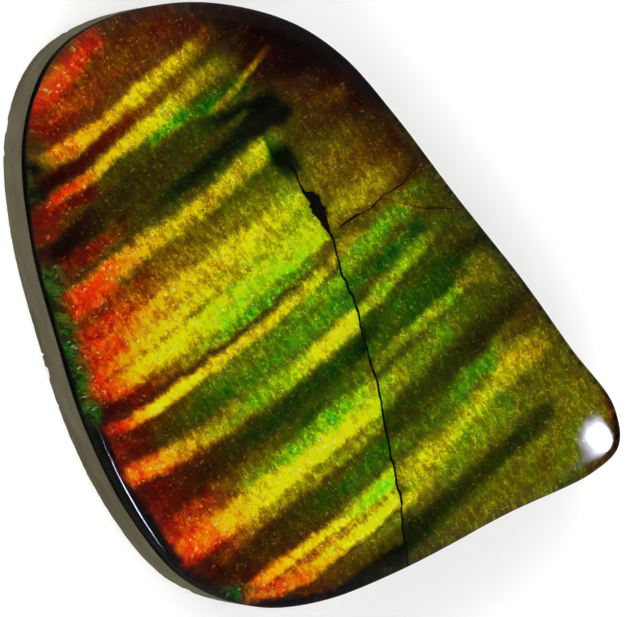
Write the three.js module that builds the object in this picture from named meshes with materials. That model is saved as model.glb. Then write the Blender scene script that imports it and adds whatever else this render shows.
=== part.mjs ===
/**
 * Ammolite gem: a freeform polished triplet of fossil ammonite shell, in millimetres.
 *
 * It lies on its back, +Z up, with its longest side along X and the origin under the
 * middle of its box. Three layers are bonded face to face, from the bottom up:
 *
 *   shale_backing   the ground slab of grey shale that carries the shell
 *   ammolite_layer  the thin iridescent shell sheet, ribbed, with the crack across it
 *   clear_cap       the low glassy dome, whose underside follows the ribs
 *
 * Every body is a list of patches: flat triples of corners that meet edge to edge.
 */
import * as THREE from 'three';
import { mergeVertices } from 'three/addons/utils/BufferGeometryUtils.js';

// ---------------------------------------------------------------------------
// Driving dimensions (mm)
// ---------------------------------------------------------------------------

const BACKING_THICKNESS = 1.75;
const FOOT_CHAMFER = 0.12;      // arris taken off round the foot by the lap
const SHEET_THICKNESS = 0.22;   // shell at the troughs between its ribs
const CEMENT_GAP = 0.02;        // clear cement line between shell and cap
const GIRDLE_HEIGHT = 0.35;     // upright edge of the cap above the troughs
const SHOULDER_HEIGHT = 0.2;    // rounding from the girdle into the dome
const SHOULDER_SPAN = 0.2;      // the same rounding, in plan
const SWELL_RISE = 0.3;         // fuller rim of the dome above the shoulder
const SWELL_SPAN = 0.9;         // the same swell, in from the outline
const DOME_RISE = 0.8;          // dome above the shoulder, at its highest

/** Plan outline of all three layers: points on one smooth closed curve. */
const OUTLINE_POINTS = [
  [-8.72, 0.05], [-9.33, 1.75], [-9.25, 2.95], [-8.45, 4.4], [-6.9, 5.8], [-4.7, 6.74],
  [-2.93, 6.85], [-0.86, 6.38], [1.73, 5.57], [4.59, 4.75], [6.74, 3.99], [8.65, 3.38],
  [9.33, 2.55], [9.15, 1.65], [7.6, -0.75], [6.1, -3.28], [4.5, -5.42], [3.0, -6.54],
  [1.1, -6.91], [-1.03, -6.33], [-3.33, -5.07], [-5.33, -3.5], [-7.11, -1.93],
];

/** The shell's ribs run side by side across the stone, each one a shallow arc. */
const RIB_BEARING = THREE.MathUtils.degToRad(71.4);
const RIB_BEND = -0.017;        // sideways drift of a rib per mm squared of its length
const RIB_LEAN = -0.017;        // sideways drift of a rib per mm of its length
const RIBS = [
  // at: place across the stone; rise: height of the crest; half: half width at its foot
  { at: -9.2, rise: 0.08, half: 0.6 },
  { at: -7.5, rise: 0.13, half: 0.75 },
  { at: -6.65, rise: 0.09, half: 0.4 },
  { at: -5.3, rise: 0.04, half: 0.45 },
  { at: -4.25, rise: 0.14, half: 0.7 },
  { at: -2.4, rise: 0.16, half: 1.2 },
  { at: -0.72, rise: 0.1, half: 0.4 },
  { at: 0.7, rise: 0.12, half: 0.65 },
  { at: 2.8, rise: 0.15, half: 0.9 },
  { at: 4.65, rise: 0.11, half: 0.5 },
  { at: 5.3, rise: 0.12, half: 0.6 },
  { at: 7.1, rise: 0.1, half: 0.8 },
  { at: 8.8, rise: 0.08, half: 0.8 },
];

/** The crack that crosses the shell: points along it, widest at the chip near its head. */
const CRACK_DEPTH = 0.14;       // below the troughs
const CRACK_POINTS = [
  // [x, y, half width]
  [-2.71, 3.62, 0.05], [-2.3, 3.45, 0.15], [-1.9, 3.26, 0.06], [-1.6, 3.12, 0.12],
  [-1.2, 2.95, 0.24], [-0.77, 2.73, 0.14], [-0.42, 2.5, 0.06], [0.67, 1.81, 0.05],
  [1.72, 0.94, 0.05], [3.09, -0.3, 0.05], [4.5, -1.57, 0.05], [5.98, -3.13, 0.05],
];

// Fineness of the faceting
const OUTLINE_SAMPLES = 720;
const LINE_PITCH = 0.25;        // between the lines that run along the ribs
const END_LINES = [0.02, 0.08, 0.18];   // closer lines where the outline turns at each end
const END_REACH = 0.32;         // from each end to the first line of the even pitch
const SIDE_ROWS = 4;            // steps along a rib, each side of the crack
const CRACK_MARGIN = 0.4;       // length of a line kept clear of the crack at each end
const SHORT_LINE_MARGIN = 0.35; // the same on the shortest lines, as a part of their length
const CRACK_SHARE = 0.6;        // most of that margin that half the crack may take
const SHOULDER_RINGS = 3;
const SWELL_INSETS = [0.4, 0.65, 0.9];  // rings over the rim's swell, in from the outline
const DOME_RINGS = 6;
const SLOPE_STEP = 0.01;        // over which the film's slope is measured
const FILM_WAVES = 8;           // waves that shape the dome to the outline
const FILM_RADIUS = 9.4;        // keeps the waves' powers near one
const PEAK_STEPS = 50;          // rings searched for the dome's highest place

// ---------------------------------------------------------------------------
// Patches and closed bodies
// ---------------------------------------------------------------------------

/** Two triples for the four corners of a quad, or one where two corners meet. */
function quad(a, b, c, d) {
  const same = (p, q) => p.every((value, i) => value === q[i]);
  return [[a, b, c], [a, c, d]].filter(([p, q, r]) => !same(p, q) && !same(q, r) && !same(r, p));
}

/** An upright or sloping band between two loops of as many points, facing outwards. */
function band(lower, upper) {
  return lower.flatMap((low, i) => {
    const next = (i + 1) % lower.length;
    return quad(low, lower[next], upper[next], upper[i]);
  });
}

/** A fan from a middle point to a loop, facing up. */
function fan(middle, loop) {
  return loop.map((point, i) => [middle, point, loop[(i + 1) % loop.length]]);
}

/** The same patch, facing the other way. */
function turned(patch) {
  return patch.map(([a, b, c]) => [a, c, b]);
}

/** One geometry of patches that close into a body. */
function bodyOf(...patches) {
  const geometry = new THREE.BufferGeometry();
  const positions = patches.flat(3);
  geometry.setAttribute('position', new THREE.Float32BufferAttribute(positions, 3));
  return mergeVertices(geometry, 1e-5);
}

// ---------------------------------------------------------------------------
// The plan: the outline, and lines along the ribs that cross it
// ---------------------------------------------------------------------------

/** Closely spaced [x, y] round the outline, centred on its own box. */
function sampleOutline() {
  const corners = OUTLINE_POINTS.map(([x, y]) => new THREE.Vector3(x, y, 0));
  const curve = new THREE.CatmullRomCurve3(corners, true, 'centripetal');
  const points = curve.getPoints(OUTLINE_SAMPLES).slice(0, OUTLINE_SAMPLES);
  const middle = new THREE.Box3().setFromPoints(points).getCenter(new THREE.Vector3());
  return points.map((point) => [point.x - middle.x, point.y - middle.y]);
}

/** Sideways drift of a rib at a distance along it. */
function ribDrift(along) {
  return RIB_LEAN * along + RIB_BEND * along * along;
}

/** Plan position [x, y] of a place along and across the ribs. */
function fromRibs(along, across) {
  const side = across + ribDrift(along);
  return [
    along * Math.cos(RIB_BEARING) + side * Math.sin(RIB_BEARING),
    along * Math.sin(RIB_BEARING) - side * Math.cos(RIB_BEARING),
  ];
}

/** The place { along, across } of a plan position. */
function toRibs([x, y]) {
  const along = x * Math.cos(RIB_BEARING) + y * Math.sin(RIB_BEARING);
  const side = x * Math.sin(RIB_BEARING) - y * Math.cos(RIB_BEARING);
  return { along, across: side - ribDrift(along) };
}

/** Lines along the ribs, each { across, from, to } with its two ends on the outline. */
function crossingLines() {
  const edge = sampleOutline().map(toRibs);
  const first = edge.reduce((a, b) => (b.across < a.across ? b : a));
  const last = edge.reduce((a, b) => (b.across > a.across ? b : a));
  const start = first.across + END_REACH;
  const span = last.across - END_REACH - start;
  const count = Math.round(span / LINE_PITCH);
  const places = [
    ...END_LINES.map((gap) => first.across + gap),
    ...Array.from({ length: count + 1 }, (_, i) => start + (span * i) / count),
    ...END_LINES.toReversed().map((gap) => last.across - gap),
  ];
  const lines = places.map((across) => {
    const ends = edge.flatMap((a, i) => {
      const b = edge[(i + 1) % edge.length];
      if ((a.across < across) === (b.across < across)) return [];
      const part = (across - a.across) / (b.across - a.across);
      return [a.along + part * (b.along - a.along)];
    });
    return { across, from: Math.min(...ends), to: Math.max(...ends) };
  });
  const pole = ({ along, across }) => ({ across, from: along, to: along });
  return [pole(first), ...lines, pole(last)];
}

const lines = crossingLines();

/** The outline as one loop, anticlockwise: every line's near end, then its far end back. */
const outline = [
  ...lines.slice(0, -1).map(({ across, from }) => ({ across, plan: fromRibs(from, across) })),
  ...lines.slice(1).toReversed().map(({ across, to }) => ({ across, plan: fromRibs(to, across) })),
];

/** The outline shrunk towards the origin by a part of its distance, then inset in mm. */
function loopAt(z, { shrink = 0, inset = 0 } = {}) {
  return outline.map(({ across, plan: [x, y] }) => {
    const scale = 1 - shrink - inset / Math.hypot(x, y);
    return [x * scale, y * scale, typeof z === 'function' ? z(x * scale, y * scale, across) : z];
  });
}

// ---------------------------------------------------------------------------
// The ribbed face of the shell
// ---------------------------------------------------------------------------

/** Height of the shell's face at a place across the stone: troughs, and cosine ribs. */
function shellFace(across) {
  const heights = RIBS.map(({ at, rise, half }) => {
    const offset = Math.min(Math.abs(across - at) / half, 1);
    return rise * 0.5 * (1 + Math.cos(Math.PI * offset));
  });
  return BACKING_THICKNESS + SHEET_THICKNESS + Math.max(0, ...heights);
}

const crackStations = CRACK_POINTS.map(([x, y, half]) => ({ ...toRibs([x, y]), half }));

/** The crack's { along, half, open } on the line at a place across the stone. */
function crackAt(across) {
  const next = crackStations.findIndex((station) => station.across > across);
  if (next <= 0) return { ...crackStations.at(next), open: false };
  const [a, b] = crackStations.slice(next - 1, next + 1);
  const part = (across - a.across) / (b.across - a.across);
  return {
    along: THREE.MathUtils.lerp(a.along, b.along, part),
    half: THREE.MathUtils.lerp(a.half, b.half, part),
    open: true,
  };
}

/**
 * The shell's face raised by `lift`, out to the outline, facing up. Every line has the same
 * steps: up to the crack, down and up its two flanks, and on to the far edge.
 */
function ribbedPatch(lift, { cracked = false } = {}) {
  const columns = lines.map(({ across, from, to }) => {
    const face = shellFace(across) + lift;
    const crack = crackAt(across);
    const margin = Math.min(CRACK_MARGIN, SHORT_LINE_MARGIN * (to - from));
    const half = Math.min(crack.half, CRACK_SHARE * margin);
    const middle = THREE.MathUtils.clamp(crack.along, from + margin, to - margin);
    const floor = BACKING_THICKNESS + SHEET_THICKNESS - CRACK_DEPTH;
    const step = (start, end, i) => start + ((end - start) * i) / SIDE_ROWS;
    const near = Array.from({ length: SIDE_ROWS }, (_, i) => step(from, middle - half, i));
    const far = Array.from({ length: SIDE_ROWS }, (_, i) => step(to, middle + half, i));
    const at = (along, z) => [...fromRibs(along, across), z];
    return [
      ...near.map((along) => at(along, face)),
      at(middle - half, face),
      at(middle, cracked && crack.open ? floor : face),
      at(middle + half, face),
      ...far.toReversed().map((along) => at(along, face)),
    ];
  });
  return columns.slice(1).flatMap((right, k) => {
    const left = columns[k];
    return right.slice(1).flatMap((_, j) => quad(left[j], right[j], right[j + 1], left[j + 1]));
  });
}

// ---------------------------------------------------------------------------
// The dome: a soap film blown up from the outline
// ---------------------------------------------------------------------------

/** The waves 1, r cos a, r sin a, r^2 cos 2a, ... whose sum shapes the film, at a place. */
function filmWaves(x, y) {
  const radius = Math.hypot(x, y) / FILM_RADIUS;
  const angle = Math.atan2(y, x);
  const orders = Array.from({ length: FILM_WAVES }, (_, i) => i + 1);
  return [1, ...orders.flatMap((n) =>
    [radius ** n * Math.cos(n * angle), radius ** n * Math.sin(n * angle)])];
}

/** The bowl that a film under pressure adds to its waves, at a place. */
function filmBowl(x, y) {
  return (x * x + y * y) / (4 * FILM_RADIUS ** 2);
}

/** The unknowns of a small symmetric set of equations, by Gaussian elimination. */
function solve(matrix, right) {
  const rows = matrix.map((row, i) => [...row, right[i]]);
  rows.forEach((pivot, i) => rows.forEach((row, j) => {
    const factor = i === j ? 0 : row[i] / pivot[i];
    pivot.forEach((value, k) => { row[k] -= factor * value; });
  }));
  return rows.map((row, i) => row.at(-1) / row[i]);
}

/** Strength of each wave, so that the film meets the outline at height zero (least squares). */
function fitFilm() {
  const edge = sampleOutline();
  const waves = edge.map(([x, y]) => filmWaves(x, y));
  const bowls = edge.map(([x, y]) => filmBowl(x, y));
  const orders = [...waves[0].keys()];
  const sum = (term) => edge.reduce((total, _, i) => total + term(i), 0);
  return solve(
    orders.map((n) => orders.map((m) => sum((i) => waves[i][n] * waves[i][m]))),
    orders.map((n) => sum((i) => waves[i][n] * bowls[i])),
  );
}

const filmStrengths = fitFilm();

/** Height of the unscaled film at a place. */
function filmHeight(x, y) {
  const waves = filmWaves(x, y);
  return waves.reduce((sum, wave, n) => sum + wave * filmStrengths[n], 0) - filmBowl(x, y);
}

/** The film's height at its highest place, searched ring by ring. */
const filmPeak = Math.max(...Array.from({ length: PEAK_STEPS }, (_, i) =>
  loopAt(filmHeight, { shrink: i / PEAK_STEPS }).map(([, , z]) => z)).flat());

/** Distance in from the outline, from the film's height and slope: exact by a straight edge. */
function rimDistance(x, y) {
  const rise = (dx, dy) => filmHeight(x + dx, y + dy) - filmHeight(x - dx, y - dy);
  const slope = (FILM_RADIUS * Math.hypot(rise(SLOPE_STEP, 0), rise(0, SLOPE_STEP))) / (2 * SLOPE_STEP);
  return FILM_RADIUS * (Math.sqrt(slope ** 2 + 2 * Math.max(filmHeight(x, y), 0)) - slope);
}

/** Relief of the dome at a place: the rim's swell, and the film over it; 0 at the outline. */
function domeHeight(x, y) {
  const short = 1 - Math.min(rimDistance(x, y) / SWELL_SPAN, 1);
  return SWELL_RISE * (1 - short * short)
    + ((DOME_RISE - SWELL_RISE) * filmHeight(x, y)) / filmPeak;
}

/** The cap's polished top: a quarter-round shoulder from the girdle, then the dome. */
function domePatch(girdle) {
  const above = (height) => (x, y) => girdle + height + domeHeight(x, y);
  const loops = [loopAt(girdle)];
  for (let i = 1; i <= SHOULDER_RINGS; i += 1) {
    const turn = (Math.PI / 2) * (i / SHOULDER_RINGS);
    const inset = SHOULDER_SPAN * (1 - Math.cos(turn));
    loops.push(loopAt(above(SHOULDER_HEIGHT * Math.sin(turn)), { inset }));
  }
  for (const inset of SWELL_INSETS) loops.push(loopAt(above(SHOULDER_HEIGHT), { inset }));
  for (let i = 1; i < DOME_RINGS; i += 1) {
    const shrink = i / DOME_RINGS;
    loops.push(loopAt(above(SHOULDER_HEIGHT), { shrink, inset: SWELL_SPAN * (1 - shrink) }));
  }
  const apex = [0, 0, above(SHOULDER_HEIGHT)(0, 0)];
  return [
    ...loops.slice(1).flatMap((loop, i) => band(loops[i], loop)),
    ...fan(apex, loops.at(-1)),
  ];
}

// ---------------------------------------------------------------------------
// The three layers
// ---------------------------------------------------------------------------

/** The shale slab, with its lapped flat foot. */
function shaleBacking() {
  const foot = loopAt(0, { inset: FOOT_CHAMFER });
  const arris = loopAt(FOOT_CHAMFER);
  const joint = loopAt(BACKING_THICKNESS);
  return bodyOf(
    turned(fan([0, 0, 0], foot)),
    band(foot, arris),
    band(arris, joint),
    fan([0, 0, BACKING_THICKNESS], joint),
  );
}

/** The shell sheet, flat below and ribbed above, with the crack cut into its face. */
function ammoliteLayer() {
  const joint = loopAt(BACKING_THICKNESS);
  const rim = loopAt((x, y, across) => shellFace(across));
  return bodyOf(
    turned(fan([0, 0, BACKING_THICKNESS], joint)),
    band(joint, rim),
    ribbedPatch(0, { cracked: true }),
  );
}

/** The clear cap: underside to the ribs, upright girdle, shoulder and dome. */
function clearCap() {
  const girdle = BACKING_THICKNESS + SHEET_THICKNESS + GIRDLE_HEIGHT;
  const rim = loopAt((x, y, across) => shellFace(across) + CEMENT_GAP);
  return bodyOf(
    turned(ribbedPatch(CEMENT_GAP)),
    band(rim, loopAt(girdle)),
    domePatch(girdle),
  );
}

/** One named mesh of the gem. */
function layer(name, geometry, material) {
  geometry.computeVertexNormals();
  const mesh = new THREE.Mesh(geometry, new THREE.MeshStandardMaterial(material));
  mesh.name = name;
  return mesh;
}

const gem = new THREE.Group();
gem.add(
  layer('shale_backing', shaleBacking(), { color: 0x8a877c, roughness: 0.55, metalness: 0 }),
  layer('ammolite_layer', ammoliteLayer(), { color: 0xb08a10, roughness: 0.35, metalness: 0.4 }),
  layer('clear_cap', clearCap(), {
    color: 0xf4f6f6, roughness: 0.02, metalness: 0, transparent: true, opacity: 0.35,
  }),
);

export default gem;
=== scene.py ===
"""Looks of the ammolite gem: a triplet of shale, iridescent fossil shell and a clear quartz cap.

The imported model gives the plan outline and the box. Everything here is worked out in
millimetres, in the frame's own axes (+X along the stone, +Z up), and turned to metres when
a mesh is made. The shell's ribs run across the stone, so its relief, colours and cracks are
laid out in rib coordinates: `along` a rib, and `across` from rib to rib.
"""

import logging
import math
from collections.abc import Callable
from dataclasses import dataclass, field
from enum import Enum
from functools import partial
from typing import ClassVar

import bmesh
import bpy
import numpy as np
from mathutils import Matrix, Vector


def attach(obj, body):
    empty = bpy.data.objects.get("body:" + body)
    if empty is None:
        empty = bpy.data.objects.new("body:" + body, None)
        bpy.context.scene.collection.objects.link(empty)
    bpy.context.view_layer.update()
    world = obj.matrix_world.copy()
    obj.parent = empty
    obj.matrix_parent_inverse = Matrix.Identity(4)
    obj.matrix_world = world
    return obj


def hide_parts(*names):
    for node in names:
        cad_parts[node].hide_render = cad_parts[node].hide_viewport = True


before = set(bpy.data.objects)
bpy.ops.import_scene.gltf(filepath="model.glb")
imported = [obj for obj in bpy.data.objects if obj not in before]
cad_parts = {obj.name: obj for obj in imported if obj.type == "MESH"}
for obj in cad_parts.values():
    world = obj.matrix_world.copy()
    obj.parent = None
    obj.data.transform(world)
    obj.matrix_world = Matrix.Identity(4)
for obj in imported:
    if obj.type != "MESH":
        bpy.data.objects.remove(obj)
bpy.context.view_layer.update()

MM = 0.001                      # metres
BODY = "root"
WELD_DIGITS = 5                 # points that agree to this many digits of a mm are one
# A Mix node of colours takes its share and its two colours at inputs 0, 6 and 7, and gives the
# mixed colour at output 2. A MapRange node with these settings is a smoothstep.
SMOOTHSTEP = {"interpolation_type": "SMOOTHSTEP"}

Array = np.ndarray
Size = tuple[float, float, float]
Ramp = tuple[float, float, float, float]    # a smoothstep between two values: from, to, low, high
Feed = bpy.types.Node | bpy.types.NodeSocket | tuple[float, ...] | float

log = logging.getLogger("ammolite")


# --------------------------------------------------------------------------------------
# Small tools: colours, nodes, noise and meshes
# --------------------------------------------------------------------------------------

def linear(code: str) -> tuple[float, float, float, float]:
    """Turns an sRGB hex colour to linear light.

    Args:
        code: Six hex digits, such as "ffa000".

    Returns:
        Linear red, green, blue, and an alpha of one.
    """
    channels = [int(code[i:i + 2], 16) / 255 for i in (0, 2, 4)]
    light = [c / 12.92 if c <= 0.04045 else ((c + 0.055) / 1.055) ** 2.4 for c in channels]
    return (*light, 1.0)


def add_node(tree: bpy.types.NodeTree, kind: str,
             inputs: dict[str | int, Feed] | tuple[Feed, ...] = (),
             **settings: str | bool) -> bpy.types.Node:
    """Adds one node with its settings, values and links.

    Args:
        tree: The node tree.
        kind: The node's type, without its "ShaderNode" prefix.
        inputs: What its inputs get, in order, or by name or number. A socket is linked, a
            node is linked by its first output, and anything else is set as a value.
        **settings: The node's own properties.

    Returns:
        The new node.
    """
    node = tree.nodes.new("ShaderNode" + kind)
    for name, value in settings.items():
        setattr(node, name, value)
    for name, value in inputs.items() if isinstance(inputs, dict) else enumerate(inputs):
        if isinstance(value, bpy.types.Node):
            value = value.outputs[0]
        if isinstance(value, bpy.types.NodeSocket):
            tree.links.new(value, node.inputs[name])
        else:
            node.inputs[name].default_value = value
    return node


def smooth(value: Array) -> Array:
    """Smoothstep: 0 below 0, 1 above 1, and 3v^2 - 2v^3 between."""
    value = np.clip(value, 0.0, 1.0)
    return value * value * (3.0 - 2.0 * value)


def value_noise(x: Array, y: Array, cell: float, seed: int) -> Array:
    """A smooth random field: random numbers on a square lattice, joined by smoothsteps.

    Args:
        x: Places along the first axis, in mm.
        y: Places along the second axis, in mm.
        cell: Side of a lattice square, in mm.
        seed: Picks the random numbers.

    Returns:
        The field, from -1 to 1.
    """
    size = 512
    lattice = np.random.default_rng(seed).uniform(-1.0, 1.0, (size, size))
    column, row = np.floor(x / cell).astype(int), np.floor(y / cell).astype(int)
    right, up = smooth(x / cell - column), smooth(y / cell - row)

    def corner(i: int, j: int) -> Array:
        """Lattice numbers at one corner of every square."""
        return lattice[(column + i) % size, (row + j) % size]

    low = corner(0, 0) * (1 - right) + corner(1, 0) * right
    high = corner(0, 1) * (1 - right) + corner(1, 1) * right
    return low * (1 - up) + high * up


def closed_mesh(name: str, patches: list[Array], attributes: dict[str, list[Array]],
                sharp_angle: float) -> bpy.types.Object:
    """Welds grid patches whose edges meet into one closed mesh, faces outwards.

    Args:
        name: Name of the object.
        patches: Grids of points (rows, columns, 3), in mm.
        attributes: For each attribute, its values on every patch (rows, columns).
        sharp_angle: Edges that turn more than this many degrees are drawn sharp.

    Returns:
        The object, at the origin, in metres.
    """
    points = np.concatenate([patch.reshape(-1, 3) for patch in patches])
    quads, start = [], 0
    for patch in patches:
        rows, columns = patch.shape[:2]
        index = start + np.arange(rows * columns).reshape(rows, columns)
        quads.append(np.stack([index[:-1, :-1], index[1:, :-1], index[1:, 1:], index[:-1, 1:]], -1)
                     .reshape(-1, 4))
        start += rows * columns
    _, first, welded = np.unique(np.round(points, WELD_DIGITS), axis=0, return_index=True,
                                 return_inverse=True)
    quads = welded.reshape(-1)[np.concatenate(quads)]
    pinched = (quads == np.roll(quads, 1, axis=1)).any(axis=1)
    corners = [tuple(dict.fromkeys(quad)) for quad in quads[pinched].tolist()]
    faces = quads[~pinched].tolist() + [corner for corner in corners if len(corner) > 2]
    mesh = bpy.data.meshes.new(name)
    mesh.from_pydata((points[first] * MM).tolist(), [], faces)
    for label, values in attributes.items():
        flat = np.concatenate([value.reshape(-1) for value in values])[first]
        mesh.attributes.new(label, "FLOAT", "POINT").data.foreach_set(
            "value", flat.astype(np.float32))
    turned = bmesh.new()
    turned.from_mesh(mesh)
    bmesh.ops.recalc_face_normals(turned, faces=turned.faces)
    turned.to_mesh(mesh)
    turned.free()
    mesh.shade_smooth()
    mesh.set_sharp_from_angle(angle=math.radians(sharp_angle))
    piece = bpy.data.objects.new(name, mesh)
    bpy.context.scene.collection.objects.link(piece)
    return piece


# --------------------------------------------------------------------------------------
# The plan, the rib coordinates and the two faces of the stone
# --------------------------------------------------------------------------------------

@dataclass
class Outline:
    """The stone's plan: a smooth closed curve through the corners of the frame's joint face.

    Attributes:
        node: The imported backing, whose upper face has the outline's corners.
        samples: Points on the smooth curve.
        slack: Corners this near to the top belong to the upper face, in mm.
        hub: Corners this near to the middle don't belong to the outline, in mm.
        top: Height of the upper face, in mm.
        points: The smooth curve.
    """

    node: bpy.types.Object
    samples: int = 2880
    slack: float = 0.01
    hub: float = 1.0
    top: float = field(init=False)
    points: Array = field(init=False)

    def __post_init__(self) -> None:
        """Reads the corners, orders them by bearing, and samples a Catmull-Rom curve."""
        corners = np.array([vertex.co for vertex in self.node.data.vertices]) / MM
        self.top = float(corners[:, 2].max())
        upper = corners[corners[:, 2] > self.top - self.slack][:, :2]
        rim = np.unique(np.round(upper[np.hypot(*upper.T) > self.hub], 4), axis=0)
        rim = rim[np.argsort(np.arctan2(rim[:, 1], rim[:, 0]))]
        part = np.arange(self.samples) / self.samples * len(rim)
        k, u = part.astype(int), (part % 1.0)[:, None]
        before, here, after, beyond = (rim[(k + i) % len(rim)] for i in (-1, 0, 1, 2))
        self.points = 0.5 * (2 * here + (after - before) * u
                             + (2 * before - 5 * here + 4 * after - beyond) * u ** 2
                             + (3 * here - before - 3 * after + beyond) * u ** 3)

    def radius(self, bearing: Array) -> Array:
        """Finds how far out the outline lies.

        Args:
            bearing: Directions from the origin, in radians.

        Returns:
            Distance from the origin to the outline on each bearing, in mm.
        """
        bearings = np.arctan2(self.points[:, 1], self.points[:, 0])
        order = np.argsort(bearings)
        return np.interp(bearing, bearings[order], np.hypot(*self.points[order].T),
                         period=2 * math.pi)

    def inset(self, x: Array, y: Array) -> Array:
        """Finds how far in from the outline places lie, which is exact near it.

        The outline's radius a small step on gives its lean, and the cosine of that lean turns
        the distance on the bearing to the distance square to the outline.

        Args:
            x: Plan places, in mm.
            y: Plan places, in mm.

        Returns:
            Distance from each place square out to the outline, in mm.
        """
        bearing, step = np.arctan2(y, x), 0.01
        here, next_to = self.radius(bearing), self.radius(bearing + step)
        leans = np.arctan2(next_to - here, step * here)
        return (here - np.hypot(x, y)) * np.cos(leans)

    def loop(self, count: int, inset: float = 0.0) -> tuple[Array, Array]:
        """Walks once round the outline, or inside it.

        Args:
            count: Steps, of equal bearing.
            inset: Distance in from the outline, in mm.

        Returns:
            Plan places in mm, closed by repeating the first.
        """
        bearing = np.linspace(0.0, 2 * math.pi, count + 1)
        bearing[-1] = 0.0
        radius = self.radius(bearing) - inset
        return radius * np.cos(bearing), radius * np.sin(bearing)


@dataclass(frozen=True)
class RibFrame:
    """Coordinates along and across the shell's ribs, which are shallow arcs.

    Attributes:
        bearing: Direction of the ribs from +X, in radians.
        bend: Sideways drift of a rib per mm squared of its length.
        lean: Sideways drift of a rib per mm of its length.
    """

    bearing: float = math.radians(71.4)
    bend: float = -0.017
    lean: float = -0.017

    def drift(self, along: Array) -> Array:
        """Sideways drift of a rib: lean times its length plus bend times its square."""
        return self.lean * along + self.bend * along ** 2

    def to_ribs(self, x: Array, y: Array) -> tuple[Array, Array]:
        """Turns plan places to (along, sideways), before the ribs' drift is taken off."""
        cos, sin = math.cos(self.bearing), math.sin(self.bearing)
        return x * cos + y * sin, x * sin - y * cos

    def from_ribs(self, along: Array, sideways: Array) -> tuple[Array, Array]:
        """Turns (along, sideways) back to plan places."""
        cos, sin = math.cos(self.bearing), math.sin(self.bearing)
        return along * cos + sideways * sin, along * sin - sideways * cos


RIBS = RibFrame()


@dataclass(frozen=True)
class Rib:
    """One rib: where it crosses, how high its crest is and half its width, in mm."""

    across: float
    rise: float
    half: float


@dataclass
class ShellFace:
    """The upper face of the shell sheet: troughs, cosine ribs, swells and wrinkled grain.

    All lengths are in mm.

    Attributes:
        base: Height of the backing's upper face.
        thickness: Shell thickness at the troughs.
        ripple: Height of the gentle swells.
        swell: Length of a swell along the ribs; it is half as wide.
        grain: Height of the wrinkles of the nacre.
        wrinkle: Length of a wrinkle along the ribs; it is twice as wide.
        push: How far the swells push the wrinkles about.
        ribs: The ribs, from the broad end to the point.
    """

    base: float
    thickness: float = 0.22
    ripple: float = 0.018
    swell: float = 1.1
    grain: float = 0.006
    wrinkle: float = 0.1
    push: float = 0.2
    ribs: tuple[Rib, ...] = (
        Rib(-9.2, 0.08, 0.6), Rib(-7.5, 0.13, 0.75), Rib(-6.65, 0.09, 0.4), Rib(-5.3, 0.04, 0.45),
        Rib(-4.25, 0.14, 0.7), Rib(-2.4, 0.16, 1.2), Rib(-0.72, 0.1, 0.4), Rib(0.7, 0.12, 0.65),
        Rib(2.8, 0.15, 0.9), Rib(4.65, 0.11, 0.5), Rib(5.3, 0.12, 0.6), Rib(7.1, 0.1, 0.8),
        Rib(8.8, 0.08, 0.8),
    )

    def height(self, x: Array, y: Array) -> Array:
        """Height of the face, in mm.

        Each rib adds half its rise times one plus the cosine of its sideways distance, and the
        highest rib wins. One field of noise takes off the swells, and one adds the grain.

        Args:
            x: Plan places.
            y: Plan places.

        Returns:
            Heights above the foot of the stone.
        """
        along, sideways = RIBS.to_ribs(x, y)
        across = sideways - RIBS.drift(along)
        rise = np.zeros_like(x)
        for rib in self.ribs:
            offset = np.minimum(np.abs(across - rib.across) / rib.half, 1.0)
            rise = np.maximum(rise, 0.5 * rib.rise * (1.0 + np.cos(math.pi * offset)))
        swell = value_noise(along, 2.0 * across, self.swell, seed=3)
        wrinkle = value_noise(along + self.push * swell, 0.5 * across, self.wrinkle, seed=5)
        return (self.base + self.thickness + rise + self.ripple * (swell - 1) / 2
                + self.grain * wrinkle)


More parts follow.
